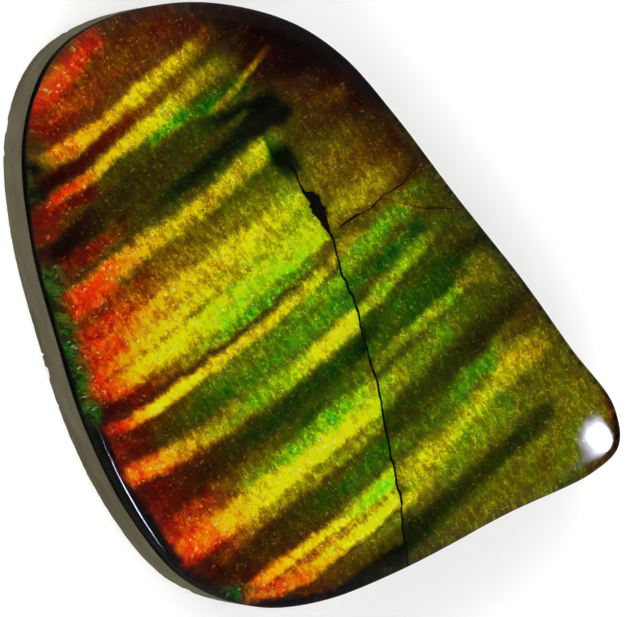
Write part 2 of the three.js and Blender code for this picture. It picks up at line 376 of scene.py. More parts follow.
@dataclass
class SoapFilm:
    """The dome of the cap: a fuller rim, and a film blown up from the outline over it.

    The film's height is the real part of a polynomial of z = x + iy, less |z|^2 / 4. The
    polynomial's strengths are fitted by least squares so that the film meets the outline.

    Attributes:
        outline: The stone's plan.
        rise: Height of the dome at its highest.
        swell: Part of that height that the fuller rim takes.
        swell_span: Width of the fuller rim.
        waves: Degree of the polynomial.
        reach: Length that z is measured in, in mm.
        middle: Half the side of the square that holds the highest place, in mm.
        strengths: The polynomial's strengths.
        peak: The film's height at its highest.
    """

    outline: Outline
    rise: float = 0.8
    swell: float = 0.3
    swell_span: float = 1.0
    waves: int = 8
    reach: float = 9.4
    middle: float = 4.0
    strengths: Array = field(init=False)
    peak: float = field(init=False)

    def __post_init__(self) -> None:
        """Fits the film to the outline and finds its highest place."""
        edge = self.outline.points @ np.array([1.0, 1.0j]) / self.reach
        powers = np.vander(edge, self.waves + 1, increasing=True)
        parts = np.concatenate([powers.real, -powers.imag[:, 1:]], axis=1)
        fit = np.linalg.lstsq(parts, np.abs(edge) ** 2 / 4, rcond=None)[0]
        self.strengths = fit[:self.waves + 1] + 1j * np.append(0.0, fit[self.waves + 1:])
        square = np.linspace(-self.middle, self.middle, 81)
        self.peak = float(self.film(*np.meshgrid(square, square))[0].max())

    def film(self, x: Array, y: Array) -> tuple[Array, Array]:
        """Works out the film before it is scaled to the dome.

        Args:
            x: Plan places, in mm.
            y: Plan places, in mm.

        Returns:
            Its height and its slope, where lengths are counted in `reach`.
        """
        z = (x + 1j * y) / self.reach
        height = np.polyval(self.strengths[::-1], z).real - np.abs(z) ** 2 / 4
        tilt = np.polyval(np.polyder(self.strengths[::-1]), z) - np.conj(z) / 2
        return np.maximum(height, 0.0), np.abs(tilt)

    def height(self, x: Array, y: Array) -> Array:
        """Works out the dome above its foot.

        The distance in from the outline comes from the film, as the root of its slope squared
        plus twice its height, less its slope. The rim swells over it by a quarter of a sine.

        Args:
            x: Plan places, in mm.
            y: Plan places, in mm.

        Returns:
            Heights, in mm.
        """
        height, slope = self.film(x, y)
        inwards = self.reach * (np.sqrt(slope ** 2 + 2 * height) - slope)
        swell = np.sin(math.pi / 2 * np.minimum(inwards / self.swell_span, 1))
        return self.swell * swell + (self.rise - self.swell) * height / self.peak


# --------------------------------------------------------------------------------------
# The play of colour
# --------------------------------------------------------------------------------------

class Side(Enum):
    """Which side of the main crack a band of colour lies on."""

    BOTH = 0
    LEFT = -1
    RIGHT = 1


@dataclass(frozen=True)
class Band:
    """A band of colour along a rib or a trough, laid over the bands before it.

    Attributes:
        side: The side of the main crack that it keeps to.
        up: Reach towards the stone's broad end, in mm.
        down: Reach towards its pointed end, in mm.
        path: Stations of (along, sideways, hue, glow): rib coordinates in mm, the hue's place
        in the palette from red 0 to green 1, and brightness as the eye reads it, partly the
        nacre's own play of colour and partly painted sheen, where the ribs catch the light.
    """

    side: Side
    up: float
    down: float
    path: tuple[tuple[float, float, float, float], ...]


BANDS = (
    Band(Side.BOTH, 20, 20, ((-6, 0, 0, 0.3), (-4.5, 0, 0.1, 0.3), (-3, 0, 0.33, 0.3),
         (-1, 0, 0.66, 0.3), (2, 0, 0.74, 0.3), (4, 0, 0.74, 0.3), (6, 0, 0.66, 0.28))),
    Band(Side.BOTH, 1.6, 1.4, ((-2, -8.6, 0, 0.34), (0, -8.6, 0.2, 0.36), (2, -8.5, 0.2, 0.3),
         (4, -8.2, 0, 0.16))),
    Band(Side.BOTH, 3.5, 1.6, ((3.2, -6.6, 0.3, 0.2), (4, -6, 0.05, 0.15), (5.5, -5, 0, 0.1))),
    Band(Side.BOTH, 1, 1.3, ((3, -4.7, 0.36, 0.26), (4.2, -4.4, 0.3, 0.26), (5.6, -4, 0.05, 0.13))),
    Band(Side.RIGHT, 1.1, 1.6, ((2.4, -2.6, 0.6, 0.38), (3.4, -2.6, 0.52, 0.42),
         (4.4, -2.4, 0.4, 0.37), (5.3, -2.2, 0.22, 0.22))),
    Band(Side.RIGHT, 2.6, 1.4, ((0, 7.2, 0.68, 0.36), (3, 7, 0.68, 0.4), (6, 6.5, 0.64, 0.38))),
    Band(Side.BOTH, 0.22, 0.42, ((-1.6, -8.85, 0, 0.8), (-1.1, -9.05, 0.03, 1.0),
         (-0.4, -9.12, 0, 0.78), (0.35, -9.28, 0, 0.6))),
    Band(Side.BOTH, 0.22, 0.32, ((-2.2, -8.45, 0.05, 0.4), (-1.3, -8.45, 0.1, 0.5),
         (-0.4, -8.38, 0.18, 0.42), (1, -8.45, 0.2, 0.36), (2, -8.5, 0.1, 0.32))),
    Band(Side.BOTH, 0.22, 0.3, ((-2.8, -7.68, 0.5, 0.14), (-2.2, -7.6, 0.2, 0.78),
         (-1.4, -7.57, 0.18, 0.94), (-0.7, -7.5, 0.36, 0.9), (0, -7.48, 0.42, 0.88),
         (0.8, -7.55, 0.54, 0.86), (1.6, -7.58, 0.54, 0.78), (2.3, -7.6, 0.5, 0.55),
         (2.8, -7.6, 0.22, 0.36))),
    Band(Side.BOTH, 0.25, 0.25, ((-3.1, -7.05, 0, 0.14), (-1.2, -7.1, 0, 0.32),
         (0.4, -7.1, 0.22, 0.42), (1.8, -7.15, 0.4, 0.4))),
    Band(Side.BOTH, 0.3, 0.24, ((0.2, -6.4, 0.96, 0.52), (0.6, -6.38, 0.94, 0.66),
         (1.4, -6.2, 0.94, 0.42), (2, -6.1, 0.94, 0.42), (2.8, -5.95, 1, 0.25))),
    Band(Side.BOTH, 0.28, 0.28, ((-0.3, -6.75, 0.6, 0.7), (0.5, -6.65, 0.74, 0.85),
         (1.4, -6.75, 0.54, 0.64), (2.3, -6.8, 0.52, 0.5), (3, -6.65, 0.56, 0.32))),
    Band(Side.BOTH, 0.3, 0.3, ((-3.8, -6.35, 0, 0.36), (-2.9, -6.35, 0, 0.4),
         (-2.1, -6.3, 0.02, 0.3))),
    Band(Side.BOTH, 0.17, 0.22, ((-3.5, -6.62, 0, 0.34), (-3, -6.66, 0, 0.64),
         (-2.3, -6.67, 0, 0.84), (-1.6, -6.7, 0.3, 1), (-0.8, -6.72, 0.36, 0.92),
         (0, -6.76, 0.5, 0.84), (0.6, -6.8, 0.62, 0.84))),
    Band(Side.BOTH, 0.1, 0.1, ((-3.9, -6.05, 0, 0.5), (-3.4, -6.03, 0, 0.42))),
    Band(Side.BOTH, 0.3, 0.5, ((-3.6, -5.6, 0.05, 0.12), (-2, -5.8, 0.5, 0.22),
         (0, -5.85, 0.66, 0.24), (1.2, -5.8, 0.74, 0.28), (2, -5.5, 0.82, 0.14),
         (3.2, -5.2, 0.82, 0.09))),
    Band(Side.BOTH, 0.25, 0.3, ((-3.9, -5.2, 0, 0.32), (-2.4, -5.1, 0.1, 0.42),
         (-1.6, -5.2, 0.45, 0.25))),
    Band(Side.BOTH, 0.1, 0.14, ((-1.9, -5.3, 0.45, 0.22), (0, -5.4, 0.56, 0.26),
         (1.2, -5.35, 0.56, 0.26), (2.3, -5.35, 0.66, 0.3))),
    Band(Side.BOTH, 0.3, 0.25, ((-1.5, -4.95, 0.6, 0.28), (0, -4.95, 0.82, 0.18),
         (2, -4.9, 0.82, 0.14), (3.3, -4.7, 0.82, 0.08))),
    Band(Side.BOTH, 0.12, 0.13, ((2.1, -5.97, 0.5, 0.54), (2.8, -6.04, 0.6, 0.44),
         (3.3, -6.16, 0.45, 0.52), (3.8, -6.3, 0.2, 0.36))),
    Band(Side.LEFT, 0.3, 0.5, ((-4.6, -4.2, 0, 0.5), (-3.9, -4.2, 0, 0.78),
         (-3.2, -4.1, 0.06, 0.74))),
    Band(Side.LEFT, 0.3, 0.4, ((-4.3, -4.5, 0, 0.6), (-3.7, -4.4, 0, 0.92),
         (-3.2, -4.4, 0, 0.98), (-2.7, -4.37, 0.07, 0.95), (-2, -4.35, 0.24, 0.88),
         (-1, -4.27, 0.5, 0.69), (0, -4.22, 0.5, 0.71), (0.8, -4.3, 0.52, 0.8),
         (1.6, -4.3, 0.62, 0.78), (2.3, -4.3, 0.7, 0.78))),
    Band(Side.LEFT, 0.25, 0.25, ((-3.3, -3.75, 0.1, 0.5), (-2.4, -3.72, 0.22, 0.42),
         (-1, -3.72, 0.45, 0.42), (0.3, -3.62, 0.62, 0.4), (1.2, -3.6, 0.72, 0.36),
         (2.2, -3.6, 0.74, 0.34))),
    Band(Side.LEFT, 0.5, 0.5, ((-4.9, -2.8, 0, 0.5), (-4.3, -2.8, 0.02, 0.79),
         (-3.5, -2.85, 0.16, 0.9), (-2.5, -2.85, 0.28, 0.88), (-1.5, -2.85, 0.44, 0.82),
         (-0.4, -2.8, 0.52, 0.86), (0.6, -2.8, 0.62, 0.84), (2.2, -2.8, 0.74, 0.72))),
    Band(Side.LEFT, 0.4, 0.25, ((-4.5, -3.35, 0, 0.56), (-3.6, -3.3, 0.02, 0.66),
         (-2.8, -3.3, 0.16, 0.58), (-1.5, -3.3, 0.42, 0.5), (-0.3, -3.25, 0.56, 0.48),
         (2.2, -3.2, 0.76, 0.44))),
    Band(Side.LEFT, 0.2, 0.25, ((-4.8, -2.4, 0, 0.78), (-4.1, -2.4, 0.14, 1.03),
         (-3.4, -2.35, 0.36, 1.1), (-2.6, -2.35, 0.45, 1.07), (-1.6, -2.4, 0.55, 0.88),
         (-0.6, -2.4, 0.62, 0.72), (0.8, -2.35, 0.68, 0.74), (2.2, -2.3, 0.76, 0.56))),
    Band(Side.LEFT, 0.32, 0.44, ((-5.1, -2.1, 0, 0.6), (-4.6, -1.95, 0.04, 0.88),
         (-4.1, -1.88, 0.26, 1.0), (-3.4, -1.87, 0.52, 1.06), (-2.6, -1.82, 0.62, 1.05),
         (-1.8, -1.82, 0.7, 0.98), (-0.8, -1.9, 0.76, 0.82), (0.4, -1.9, 0.76, 0.84),
         (2.2, -1.9, 0.76, 0.82))),
    Band(Side.LEFT, 0.22, 0.28, ((-1.9, -1.6, 0.74, 0.9), (-1.2, -1.52, 0.88, 0.96),
         (-0.3, -1.6, 0.84, 0.9), (0.4, -1.6, 0.84, 0.9), (1, -1.5, 0.88, 1.0),
         (2.1, -1.6, 0.8, 1.02))),
    Band(Side.LEFT, 0.2, 0.16, ((-5.3, -1.4, 0, 0.18), (-4.1, -1.35, 0.1, 0.38),
         (-3, -1.3, 0.42, 0.5), (-2.1, -1.25, 0.76, 0.56), (-1, -1.2, 0.93, 0.62),
         (0.4, -1.2, 0.9, 0.6), (1.2, -1.15, 0.9, 0.55), (2.1, -1.25, 0.55, 0.36))),
    Band(Side.LEFT, 0.3, 0.3, ((-5.6, -0.5, 0, 0.4), (-4.8, -0.45, 0.1, 0.3),
         (-3.8, -0.4, 0.45, 0.3), (-2.8, -0.4, 0.74, 0.38), (-1.6, -0.35, 0.78, 0.48),
         (0, -0.3, 0.84, 0.46), (0.9, -0.4, 0.82, 0.56), (1.9, -0.3, 0.84, 0.62))),
    Band(Side.LEFT, 0.4, 0.4, ((-4.5, 0, 0.45, 0.25), (-3, 0.05, 0.86, 0.32),
         (-1.6, 0.1, 0.85, 0.45), (0, 0.15, 0.87, 0.5), (0.9, 0.1, 0.9, 0.54),
         (1.8, 0.2, 0.92, 0.46))),
    Band(Side.BOTH, 0.2, 0.2, ((-5.5, -1.05, 0, 0.4), (-4.9, -0.95, 0.04, 0.82),
         (-4.3, -0.87, 0.48, 1.14), (-3.8, -0.84, 0.56, 1.1), (-2.8, -0.78, 0.54, 1.02),
         (-1.6, -0.73, 0.5, 0.9), (-0.6, -0.71, 0.52, 0.88), (0.3, -0.72, 0.6, 0.8),
         (1.2, -0.72, 0.74, 0.72), (2, -0.9, 0.64, 0.6), (2.9, -0.98, 0.34, 0.42))),
    Band(Side.LEFT, 0.35, 0.3, ((-6, 0.2, 0, 0.8), (-5.4, 0.25, 0.1, 1.0),
         (-4.8, 0.42, 0.18, 0.96), (-4.1, 0.5, 0.32, 0.76), (-3.3, 0.64, 0.64, 0.52),
         (-2, 0.7, 0.84, 0.54), (-1.1, 0.74, 0.84, 0.66))),
    Band(Side.LEFT, 0.26, 0.34, ((-1.0, 0.74, 0.84, 0.66), (-0.4, 0.75, 0.76, 0.84),
         (0.3, 0.75, 0.68, 0.98), (0.9, 0.72, 0.64, 1.06), (1.8, 0.64, 0.74, 0.96))),
    Band(Side.LEFT, 0.36, 0.4, ((-6, 1.3, 0, 0.42), (-5.2, 1.3, 0, 0.32), (-4, 1.3, 0.3, 0.22),
         (-2.5, 1.35, 0.84, 0.24), (-1, 1.35, 0.88, 0.26), (0.5, 1.42, 0.9, 0.3),
         (1.5, 1.38, 0.92, 0.2))),
    Band(Side.LEFT, 0.3, 0.35, ((-5.9, 1.95, 0.06, 0.54), (-5, 1.95, 0.04, 0.56),
         (-4.2, 2, 0.14, 0.44), (-3.4, 2, 0.56, 0.36), (-2.2, 2, 0.7, 0.36),
         (-1, 2, 0.84, 0.28), (0.4, 1.95, 0.82, 0.38), (1.2, 1.9, 0.72, 0.4))),
    Band(Side.LEFT, 0.3, 0.3, ((-3.4, 2.3, 0.74, 0.5), (-1.9, 2.38, 0.86, 0.64),
         (-1, 2.38, 0.86, 0.64), (-0.5, 2.35, 0.94, 0.68), (0.4, 2.4, 0.82, 0.7),
         (1, 2.4, 0.66, 0.6))),
    Band(Side.LEFT, 0.42, 0.54, ((-6, 2.45, 0, 0.6), (-5.5, 2.5, 0.02, 0.88),
         (-5, 2.55, 0.08, 0.98), (-4.5, 2.6, 0.2, 1.0), (-4, 2.68, 0.36, 1.02),
         (-3.4, 2.75, 0.52, 1.02),
         (-2.6, 2.8, 0.62, 1.02), (-1.6, 2.85, 0.68, 1.12), (-0.4, 2.9, 0.77, 1.26),
         (0.8, 2.88, 0.72, 0.94))),
    Band(Side.LEFT, 0.3, 0.5, ((-5.8, 3.6, 0.1, 0.2), (-4.6, 3.7, 0.22, 0.25),
         (-3.4, 3.7, 0.45, 0.25), (-2, 3.8, 0.82, 0.28), (-1, 3.95, 0.84, 0.38),
         (0.4, 3.8, 0.92, 0.38))),
    Band(Side.LEFT, 0.2, 0.25, ((-5.3, 3.3, 0.1, 0.26), (-4.4, 3.25, 0.22, 0.5),
         (-3.4, 3.2, 0.56, 0.5), (-2, 3.2, 0.66, 0.5), (0.7, 3.15, 0.74, 0.52))),
    Band(Side.LEFT, 0.23, 0.18, ((-5, 4.45, 0.16, 0.85), (-4.5, 4.5, 0.14, 1.0),
         (-3.9, 4.5, 0.26, 1.0), (-3.3, 4.55, 0.38, 1.0), (-2.6, 4.62, 0.48, 0.94),
         (-1.9, 4.66, 0.6, 0.9), (-1.3, 4.68, 0.74, 0.86))),
    Band(Side.LEFT, 0.28, 0.25, ((-1.5, 4.6, 0.8, 0.84), (-0.9, 4.62, 0.9, 0.98),
         (-0.4, 4.66, 0.88, 1.18), (0.1, 4.6, 0.88, 0.9))),
    Band(Side.LEFT, 0.28, 0.2, ((-4.9, 4.75, 0.14, 0.8), (-4.4, 4.93, 0.08, 0.92),
         (-3.7, 5.03, 0.1, 0.92), (-3, 5.15, 0.32, 1.0), (-2.2, 5.17, 0.5, 0.94),
         (-1.4, 5.26, 0.76, 1.2), (-0.5, 5.16, 0.76, 1.2))),
    Band(Side.LEFT, 0.1, 0.1, ((-4.3, 4.77, 0.06, 0.74), (-3.2, 4.84, 0.14, 0.64),
         (-2, 4.9, 0.4, 0.64), (-1, 4.92, 0.6, 0.6))),
    Band(Side.LEFT, 0.15, 0.25, ((-4, 5.5, 0.1, 0.34), (-3, 5.55, 0.3, 0.3),
         (-2, 5.6, 0.56, 0.34), (-0.6, 5.6, 0.78, 0.44))),
    Band(Side.LEFT, 0.2, 0.6, ((-4, 6.1, 0.3, 0.1), (-2.8, 6.1, 0.5, 0.11),
         (-1.8, 6.1, 0.66, 0.16), (-0.8, 6.3, 0.82, 0.12))),
    Band(Side.RIGHT, 0.3, 0.35, ((2.6, -4.3, 0.84, 0.44), (3.1, -4.2, 0.7, 0.3),
         (3.8, -4.3, 0.4, 0.27), (4.8, -4.2, 0.25, 0.3))),
    Band(Side.RIGHT, 0.35, 0.4, ((2.6, -1.8, 0.6, 0.46), (3.4, -1.8, 0.6, 0.54),
         (4.2, -1.8, 0.54, 0.5), (5, -1.9, 0.4, 0.34))),
    Band(Side.RIGHT, 0.36, 0.44, ((2, -0.6, 0.8, 0.54), (2.8, -0.66, 0.82, 0.6),
         (3.6, -0.76, 0.88, 0.57), (4.4, -0.84, 0.82, 0.48), (5.2, -0.9, 0.74, 0.32))),
    Band(Side.RIGHT, 0.25, 0.2, ((1.9, -0.05, 0.86, 0.42), (3, 0.05, 0.97, 0.36),
         (3.7, 0, 0.92, 0.42), (4.4, -0.05, 0.94, 0.28))),
    Band(Side.RIGHT, 0.25, 0.2, ((1.7, 0.65, 0.76, 0.72), (2.4, 0.6, 0.78, 0.62),
         (3.2, 0.47, 0.8, 0.62), (4.2, 0.35, 0.78, 0.52), (5.2, 0.15, 0.74, 0.28))),
    Band(Side.RIGHT, 0.35, 0.35, ((1.4, 1.2, 0.88, 0.22), (2.6, 1.15, 0.84, 0.37),
         (4.2, 1.15, 0.9, 0.28), (5.6, 1.3, 0.66, 0.18))),
    Band(Side.RIGHT, 0.3, 0.3, ((1.3, 1.7, 0.82, 0.38), (2.6, 1.6, 0.88, 0.35),
         (4.2, 1.5, 0.94, 0.3))),
    Band(Side.RIGHT, 0.2, 0.2, ((1.3, 2.05, 0.74, 0.44), (2.2, 1.98, 0.74, 0.5),
         (3.3, 1.92, 0.74, 0.6), (4.2, 1.9, 0.8, 0.52), (4.8, 1.95, 0.66, 0.4))),
    Band(Side.RIGHT, 0.6, 0.5, ((5, 1.9, 0.7, 0.42), (5.4, 2, 0.68, 0.4))),
    Band(Side.RIGHT, 0.3, 0.5, ((0.9, 2.65, 0.8, 0.62), (1.6, 2.6, 0.72, 0.54),
         (2.2, 2.6, 0.76, 0.46), (3, 2.4, 0.84, 0.5), (4.4, 2.4, 0.76, 0.34))),
    Band(Side.RIGHT, 0.35, 0.45, ((0.6, 3.45, 0.78, 0.26), (2.2, 3.35, 0.76, 0.28),
         (4, 3.2, 0.68, 0.2), (6, 3.3, 0.6, 0.24))),
    Band(Side.RIGHT, 0.35, 0.3, ((0.2, 4, 0.76, 0.42), (1.4, 4.22, 0.74, 0.34),
         (2.4, 4.15, 0.8, 0.42), (3.3, 3.9, 0.9, 0.54), (4, 3.95, 0.9, 0.52),
         (4.6, 3.75, 0.56, 0.34), (5.8, 3.7, 0.5, 0.28))),
    Band(Side.RIGHT, 0.45, 0.4, ((0.2, 4.9, 0.72, 0.64), (0.8, 4.88, 0.62, 0.74),
         (1.5, 4.85, 0.66, 0.74), (2.2, 4.78, 0.74, 0.72), (3, 4.68, 0.7, 0.7),
         (3.7, 4.6, 0.66, 0.63), (4.3, 4.35, 0.5, 0.72), (4.9, 4.4, 0.5, 0.6),
         (5.5, 4.5, 0.54, 0.38))),
    Band(Side.RIGHT, 0.25, 0.2, ((-0.5, 5.35, 0.66, 0.62), (0.4, 5.35, 0.64, 0.6),
         (1.2, 5.3, 0.74, 0.56), (2.4, 5.1, 0.8, 0.5))),
    Band(Side.RIGHT, 0.3, 0.4, ((1, 5.6, 0.76, 0.4), (2.4, 5.25, 0.72, 0.5),
         (3.6, 5.05, 0.78, 0.44))),
    Band(Side.RIGHT, 0.4, 0.35, ((-0.8, 6.1, 0.82, 0.18), (0.4, 6.1, 0.76, 0.2),
         (1.6, 6.15, 0.7, 0.24), (3, 6.1, 0.76, 0.22), (4.4, 6, 0.7, 0.24))),
    Band(Side.RIGHT, 0.4, 0.5, ((0.3, 6.9, 0.62, 0.36), (2, 6.9, 0.64, 0.4),
         (3.6, 7, 0.68, 0.36), (4.8, 6.9, 0.7, 0.38))),
    Band(Side.BOTH, 0.45, 0.6, ((2.4, -3.9, 0.92, 0.16), (2.75, -3.8, 0.86, 0.14))),
)

# The palette by hue: interference colours of the nacre, red where its plates are thickest.
PALETTE = (
    (0.0, "ff2400"), (0.1, "ff5000"), (0.22, "ff8200"), (0.45, "ffbc00"), (0.66, "f4e800"),
    (0.82, "a4f200"), (0.94, "4ed000"), (1.0, "149414"),
)


@dataclass(frozen=True)
class Crack:
    """A crack in the shell.

    Attributes:
        across_ribs: Whether it runs mostly sideways, across the ribs, or mostly along them.
        path: Stations of (along, sideways, left half width, right half width), in mm.
        waver: How far it wavers off its stations, in mm.
        waver_size: Length of a waver, in mm.
    """

    across_ribs: bool
    path: tuple[tuple[float, float, float, float], ...]
    waver: float = 0.03
    waver_size: float = 0.22

    def offset(self, along: Array, sideways: Array) -> tuple[Array, Array]:
        """Measures places against the crack.

        Its line runs straight from station to station, moved to the middle of its width, and
        wavers by a field of noise.

        Args:
            along: Rib coordinates, in mm.
            sideways: Rib coordinates, in mm.

        Returns:
            Signed distance off the crack's middle, and its half width there, in mm.
        """
        path = np.array(self.path)
        here, beside = (sideways, along) if self.across_ribs else (along, sideways)
        run, line = (path[:, 1], path[:, 0]) if self.across_ribs else (path[:, 0], path[:, 1])
        left, right = (np.interp(here, run, path[:, k]) for k in (2, 3))
        line = np.interp(here, run, line) + (right - left) / 2
        seed = 31 + self.across_ribs
        line = line + self.waver * value_noise(here, 0 * here, self.waver_size, seed)
        return beside - line, (left + right) / 2


MAIN_CRACK = Crack(True, (
    (2.4, -4.3, 0.0, 0.0), (2.48, -3.9, 0.02, 0.02), (2.55, -3.72, 0.04, 0.05),
    (2.57, -3.5, 0.06, 0.06), (2.6, -3.33, 0.04, 0.04), (2.56, -3.18, 0.03, 0.03),
    (2.44, -2.88, 0.03, 0.03), (2.42, -2.75, 0.04, 0.06), (2.42, -2.63, 0.05, 0.27),
    (2.42, -2.4, 0.08, 0.31), (2.42, -2.1, 0.12, 0.3), (2.4, -1.87, 0.09, 0.2),
    (2.38, -1.65, 0.04, 0.12), (2.38, -1.48, 0.03, 0.05), (2.32, -1.25, 0.03, 0.03),
    (2.16, -0.94, 0.03, 0.03), (2.0, -0.4, 0.04, 0.035), (1.86, 0.2, 0.035, 0.035),
    (1.45, 1.2, 0.03, 0.03), (1.0, 2.4, 0.035, 0.03), (0.5, 3.4, 0.04, 0.04),
    (0.06, 4.4, 0.035, 0.04), (-0.36, 5.3, 0.04, 0.035), (-0.85, 6.05, 0.04, 0.04),
    (-1.1, 6.6, 0.04, 0.04),
))
SIDE_CRACKS = (
    Crack(False, ((2.5, -1.45, 0.0, 0.0), (2.8, -1.42, 0.022, 0.022), (3.2, -1.36, 0.03, 0.03),
                  (3.5, -1.32, 0.01, 0.01), (3.9, -1.31, 0.026, 0.026), (4.3, -1.33, 0.012, 0.012),
                  (4.7, -1.26, 0.026, 0.026), (5.1, -1.32, 0.01, 0.01), (5.5, -1.4, 0.0, 0.0))),
    Crack(False, ((3.95, -1.35, 0.0, 0.0), (4.15, -1.22, 0.012, 0.012),
                  (4.35, -1.02, 0.018, 0.018), (4.61, -0.65, 0.014, 0.014),
                  (5.02, -0.24, 0.022, 0.022), (5.57, 0.25, 0.01, 0.01), (5.8, 0.45, 0.0, 0.0))),
)


@dataclass(frozen=True)
class Rim:
    """The nacre near the outline: green down the left edge, amber round the tip, and dark.

    The dark at the rim is painted shade. All lengths are in mm. A blur is the length over
    which one thing turns to the next.

    Attributes:
        green: How deep the plates thin to green: stations of (sideways, depth) down the edge.
        dark: How deep the painted shade reaches in from the left edge, by such stations.
        side: How far along the ribs the left edge reaches, at the stone's middle.
        slant: How much less it reaches per mm sideways.
        side_blur: Blur of the left edge's end.
        uneven: Raggedness of the rim: (depth, size of a tooth, seed).
        least_green: A green no deeper than this is left out.
        green_blur: Blur of the green.
        green_past: How far past its depth the green reaches, as a part of its blur.
        tip: Where the stone's tip starts, as (along, sideways).
        tip_blur: Blur of that start.
        amber: Depth and blur of the amber, and the hue's place in the palette.
        edge: Depth and blur of the painted shade all round.
    """

    green: tuple[tuple[float, float], ...] = (
        (-9.0, 0.2), (-8.2, 0.4), (-7.2, 0.38), (-6.4, 0.17), (-5.6, 0.4), (-5.0, 0.78),
        (-3.0, 0.8), (-1.8, 0.78), (-1.2, 0.3), (1.2, 0.17), (1.7, 0.45), (2.6, 0.45),
        (3.2, 0.17), (3.9, 0.45), (4.4, 0.8), (4.9, 0.1),
    )
    dark: tuple[tuple[float, float], ...] = (
        (-9.0, 0.06), (-5.0, 0.06), (-2.5, 0.08), (-1.0, 0.26), (-0.6, 0.34), (-0.2, 0.28),
        (1.4, 0.38), (2.5, 0.26), (4.4, 0.14), (5.5, 0.2), (7.0, 0.1),
    )
    side: float = 0.5
    slant: float = 0.35
    side_blur: float = 1.5
    uneven: tuple[tuple[float, float, int], ...] = ((0.14, 0.35, 41), (0.1, 0.1, 42))
    least_green: float = 0.16
    green_blur: float = 0.5
    green_past: float = 0.15
    tip: tuple[float, float] = (4.0, 6.0)
    tip_blur: float = 1.2
    amber: tuple[float, float, float] = (0.4, 0.2, 0.3)
    edge: tuple[float, float] = (0.02, 0.22)

    def fields(self, hue: Array, x: Array, y: Array, inset: Array) -> tuple[Array, Array, Array]:
        """Works out what the rim does to the nacre.

        Args:
            hue: The hue's place in the palette.
            x: Plan places, in mm.
            y: Plan places, in mm.
            inset: Distance in from the outline, in mm.

        Returns:
            The new hue, the green's share, and the share of light that the painted shade at the
            edge leaves.
        """
        along, sideways = RIBS.to_ribs(x, y)
        left = smooth((self.side - along - self.slant * sideways) / self.side_blur)
        green, dark = (np.interp(sideways, *np.array(path).T) for path in (self.green, self.dark))
        uneven = sum(depth * value_noise(along, sideways, size, seed)
                     for depth, size, seed in self.uneven)
        fringe = left * smooth((green + uneven - inset) / self.green_blur + self.green_past)
        tip = (smooth((along - self.tip[0]) / self.tip_blur)
               * smooth((sideways - self.tip[1]) / self.tip_blur))
        depth, blur, tint = self.amber
        amber = tip * smooth((depth - inset) / blur)
        # Painted shade: darkest at the outline, and reaching deepest down the left edge.
        depth, blur = self.edge
        painted_rim_shade_factor = smooth((inset - depth - dark * left - 0.5 * np.abs(uneven)) / blur) ** 2
        return hue + (tint - hue) * amber, fringe * (green > self.least_green), painted_rim_shade_factor


BARE_GLOW = 0.2                 # brightness where no band lies
SEAM = 0.06                     # width over which the two sides of the main crack meet, in mm
WIDEN = 1.3                     # bands run into their neighbours by this much
FULL = 0.15                     # part of its reach over which a band's share stays one
# A band's ends fade over a length that grows with it: least, per mm of band, and most, in mm.
FADE = (0.15, 0.3, 0.45)
# Folds that break up the bands' edges: (size, shift, seed), in mm.
WARPS = ((0.9, 0.05, 21), (0.35, 0.05, 22), (0.14, 0.035, 23))
# The brown along the side cracks: its share and its hue, its reach in mm, and the half width
# in mm at which a crack has all of it.
STAIN = (0.5, 0.3, 0.12, 0.01)


def colour_fields(along: Array, sideways: Array) -> tuple[Array, Array]:
    """Lays every band over the last one.

    A band's share falls from one, inside the first part of its reach, to nothing at its reach,
    and fades at both ends of its path. Last, the nacre turns brown along the side cracks.

    Args:
        along: Rib coordinates, in mm.
        sideways: Rib coordinates, in mm.

    Returns:
        The hue's place in the palette, and the glow.
    """
    hue, glow = np.zeros_like(along), np.full_like(along, BARE_GLOW)
    right = smooth(MAIN_CRACK.offset(along, sideways)[0] / SEAM + 0.5)
    for cell, shift, seed in WARPS:
        sideways = sideways + shift * value_noise(along, sideways, cell, seed)
    share_of_side = {Side.BOTH: 1.0, Side.LEFT: 1.0 - right, Side.RIGHT: right}
    least, growth, most = FADE
    for band in BANDS:
        path = np.array(band.path)
        middle, its_hue, its_glow = (np.interp(along, path[:, 0], path[:, k]) for k in (1, 2, 3))
        off = sideways - middle
        off = np.abs(off) / np.where(off < 0, band.up, band.down) / WIDEN
        fade = min(most, growth * (path[-1, 0] - path[0, 0]) + least)
        share = 1.0 - smooth((off - FULL) / (1.0 - FULL))
        share *= smooth((along - path[0, 0] + fade) / fade)
        share *= smooth((path[-1, 0] + fade - along) / fade)
        share *= share_of_side[band.side]
        hue += (its_hue - hue) * share
        glow += (its_glow - glow) * share
    strength, tint, reach, wide = STAIN
    for crack in SIDE_CRACKS:
        off, half = crack.offset(along, sideways)
        hue += strength * (tint - hue) * np.exp(-(off / reach) ** 2) * smooth(half / wide)
    return hue, glow


# --------------------------------------------------------------------------------------
# The three layers
# --------------------------------------------------------------------------------------

@dataclass
class Layer:
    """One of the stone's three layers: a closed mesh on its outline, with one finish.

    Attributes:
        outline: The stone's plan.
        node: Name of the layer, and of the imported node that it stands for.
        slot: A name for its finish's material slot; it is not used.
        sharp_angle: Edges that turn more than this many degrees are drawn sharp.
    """

    outline: Outline
    node: ClassVar[str]
    slot: ClassVar[str]
    sharp_angle: ClassVar[float] = 40.0

    def patches(self) -> list[Array]:
        """The layer's surface: grids of points in mm, whose edges meet."""
        raise NotImplementedError

    def fields(self, patches: list[Array]) -> dict[str, list[Array]]:
        """What the finish reads at each point of the patches: nothing, as a rule."""
        return {}

    def finish(self) -> bpy.types.Material:
        """The layer's material."""
        raise NotImplementedError

    def make(self) -> None:
        """Builds the layer, dresses it, and stands it in for its node on the stone."""
        patches = self.patches()
        piece = closed_mesh(self.node, patches, self.fields(patches), self.sharp_angle)
        piece.data.materials.append(self.finish())
        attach(piece, BODY)
        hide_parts(self.node)
        log.info("%s: %d faces", piece.name, len(piece.data.polygons))


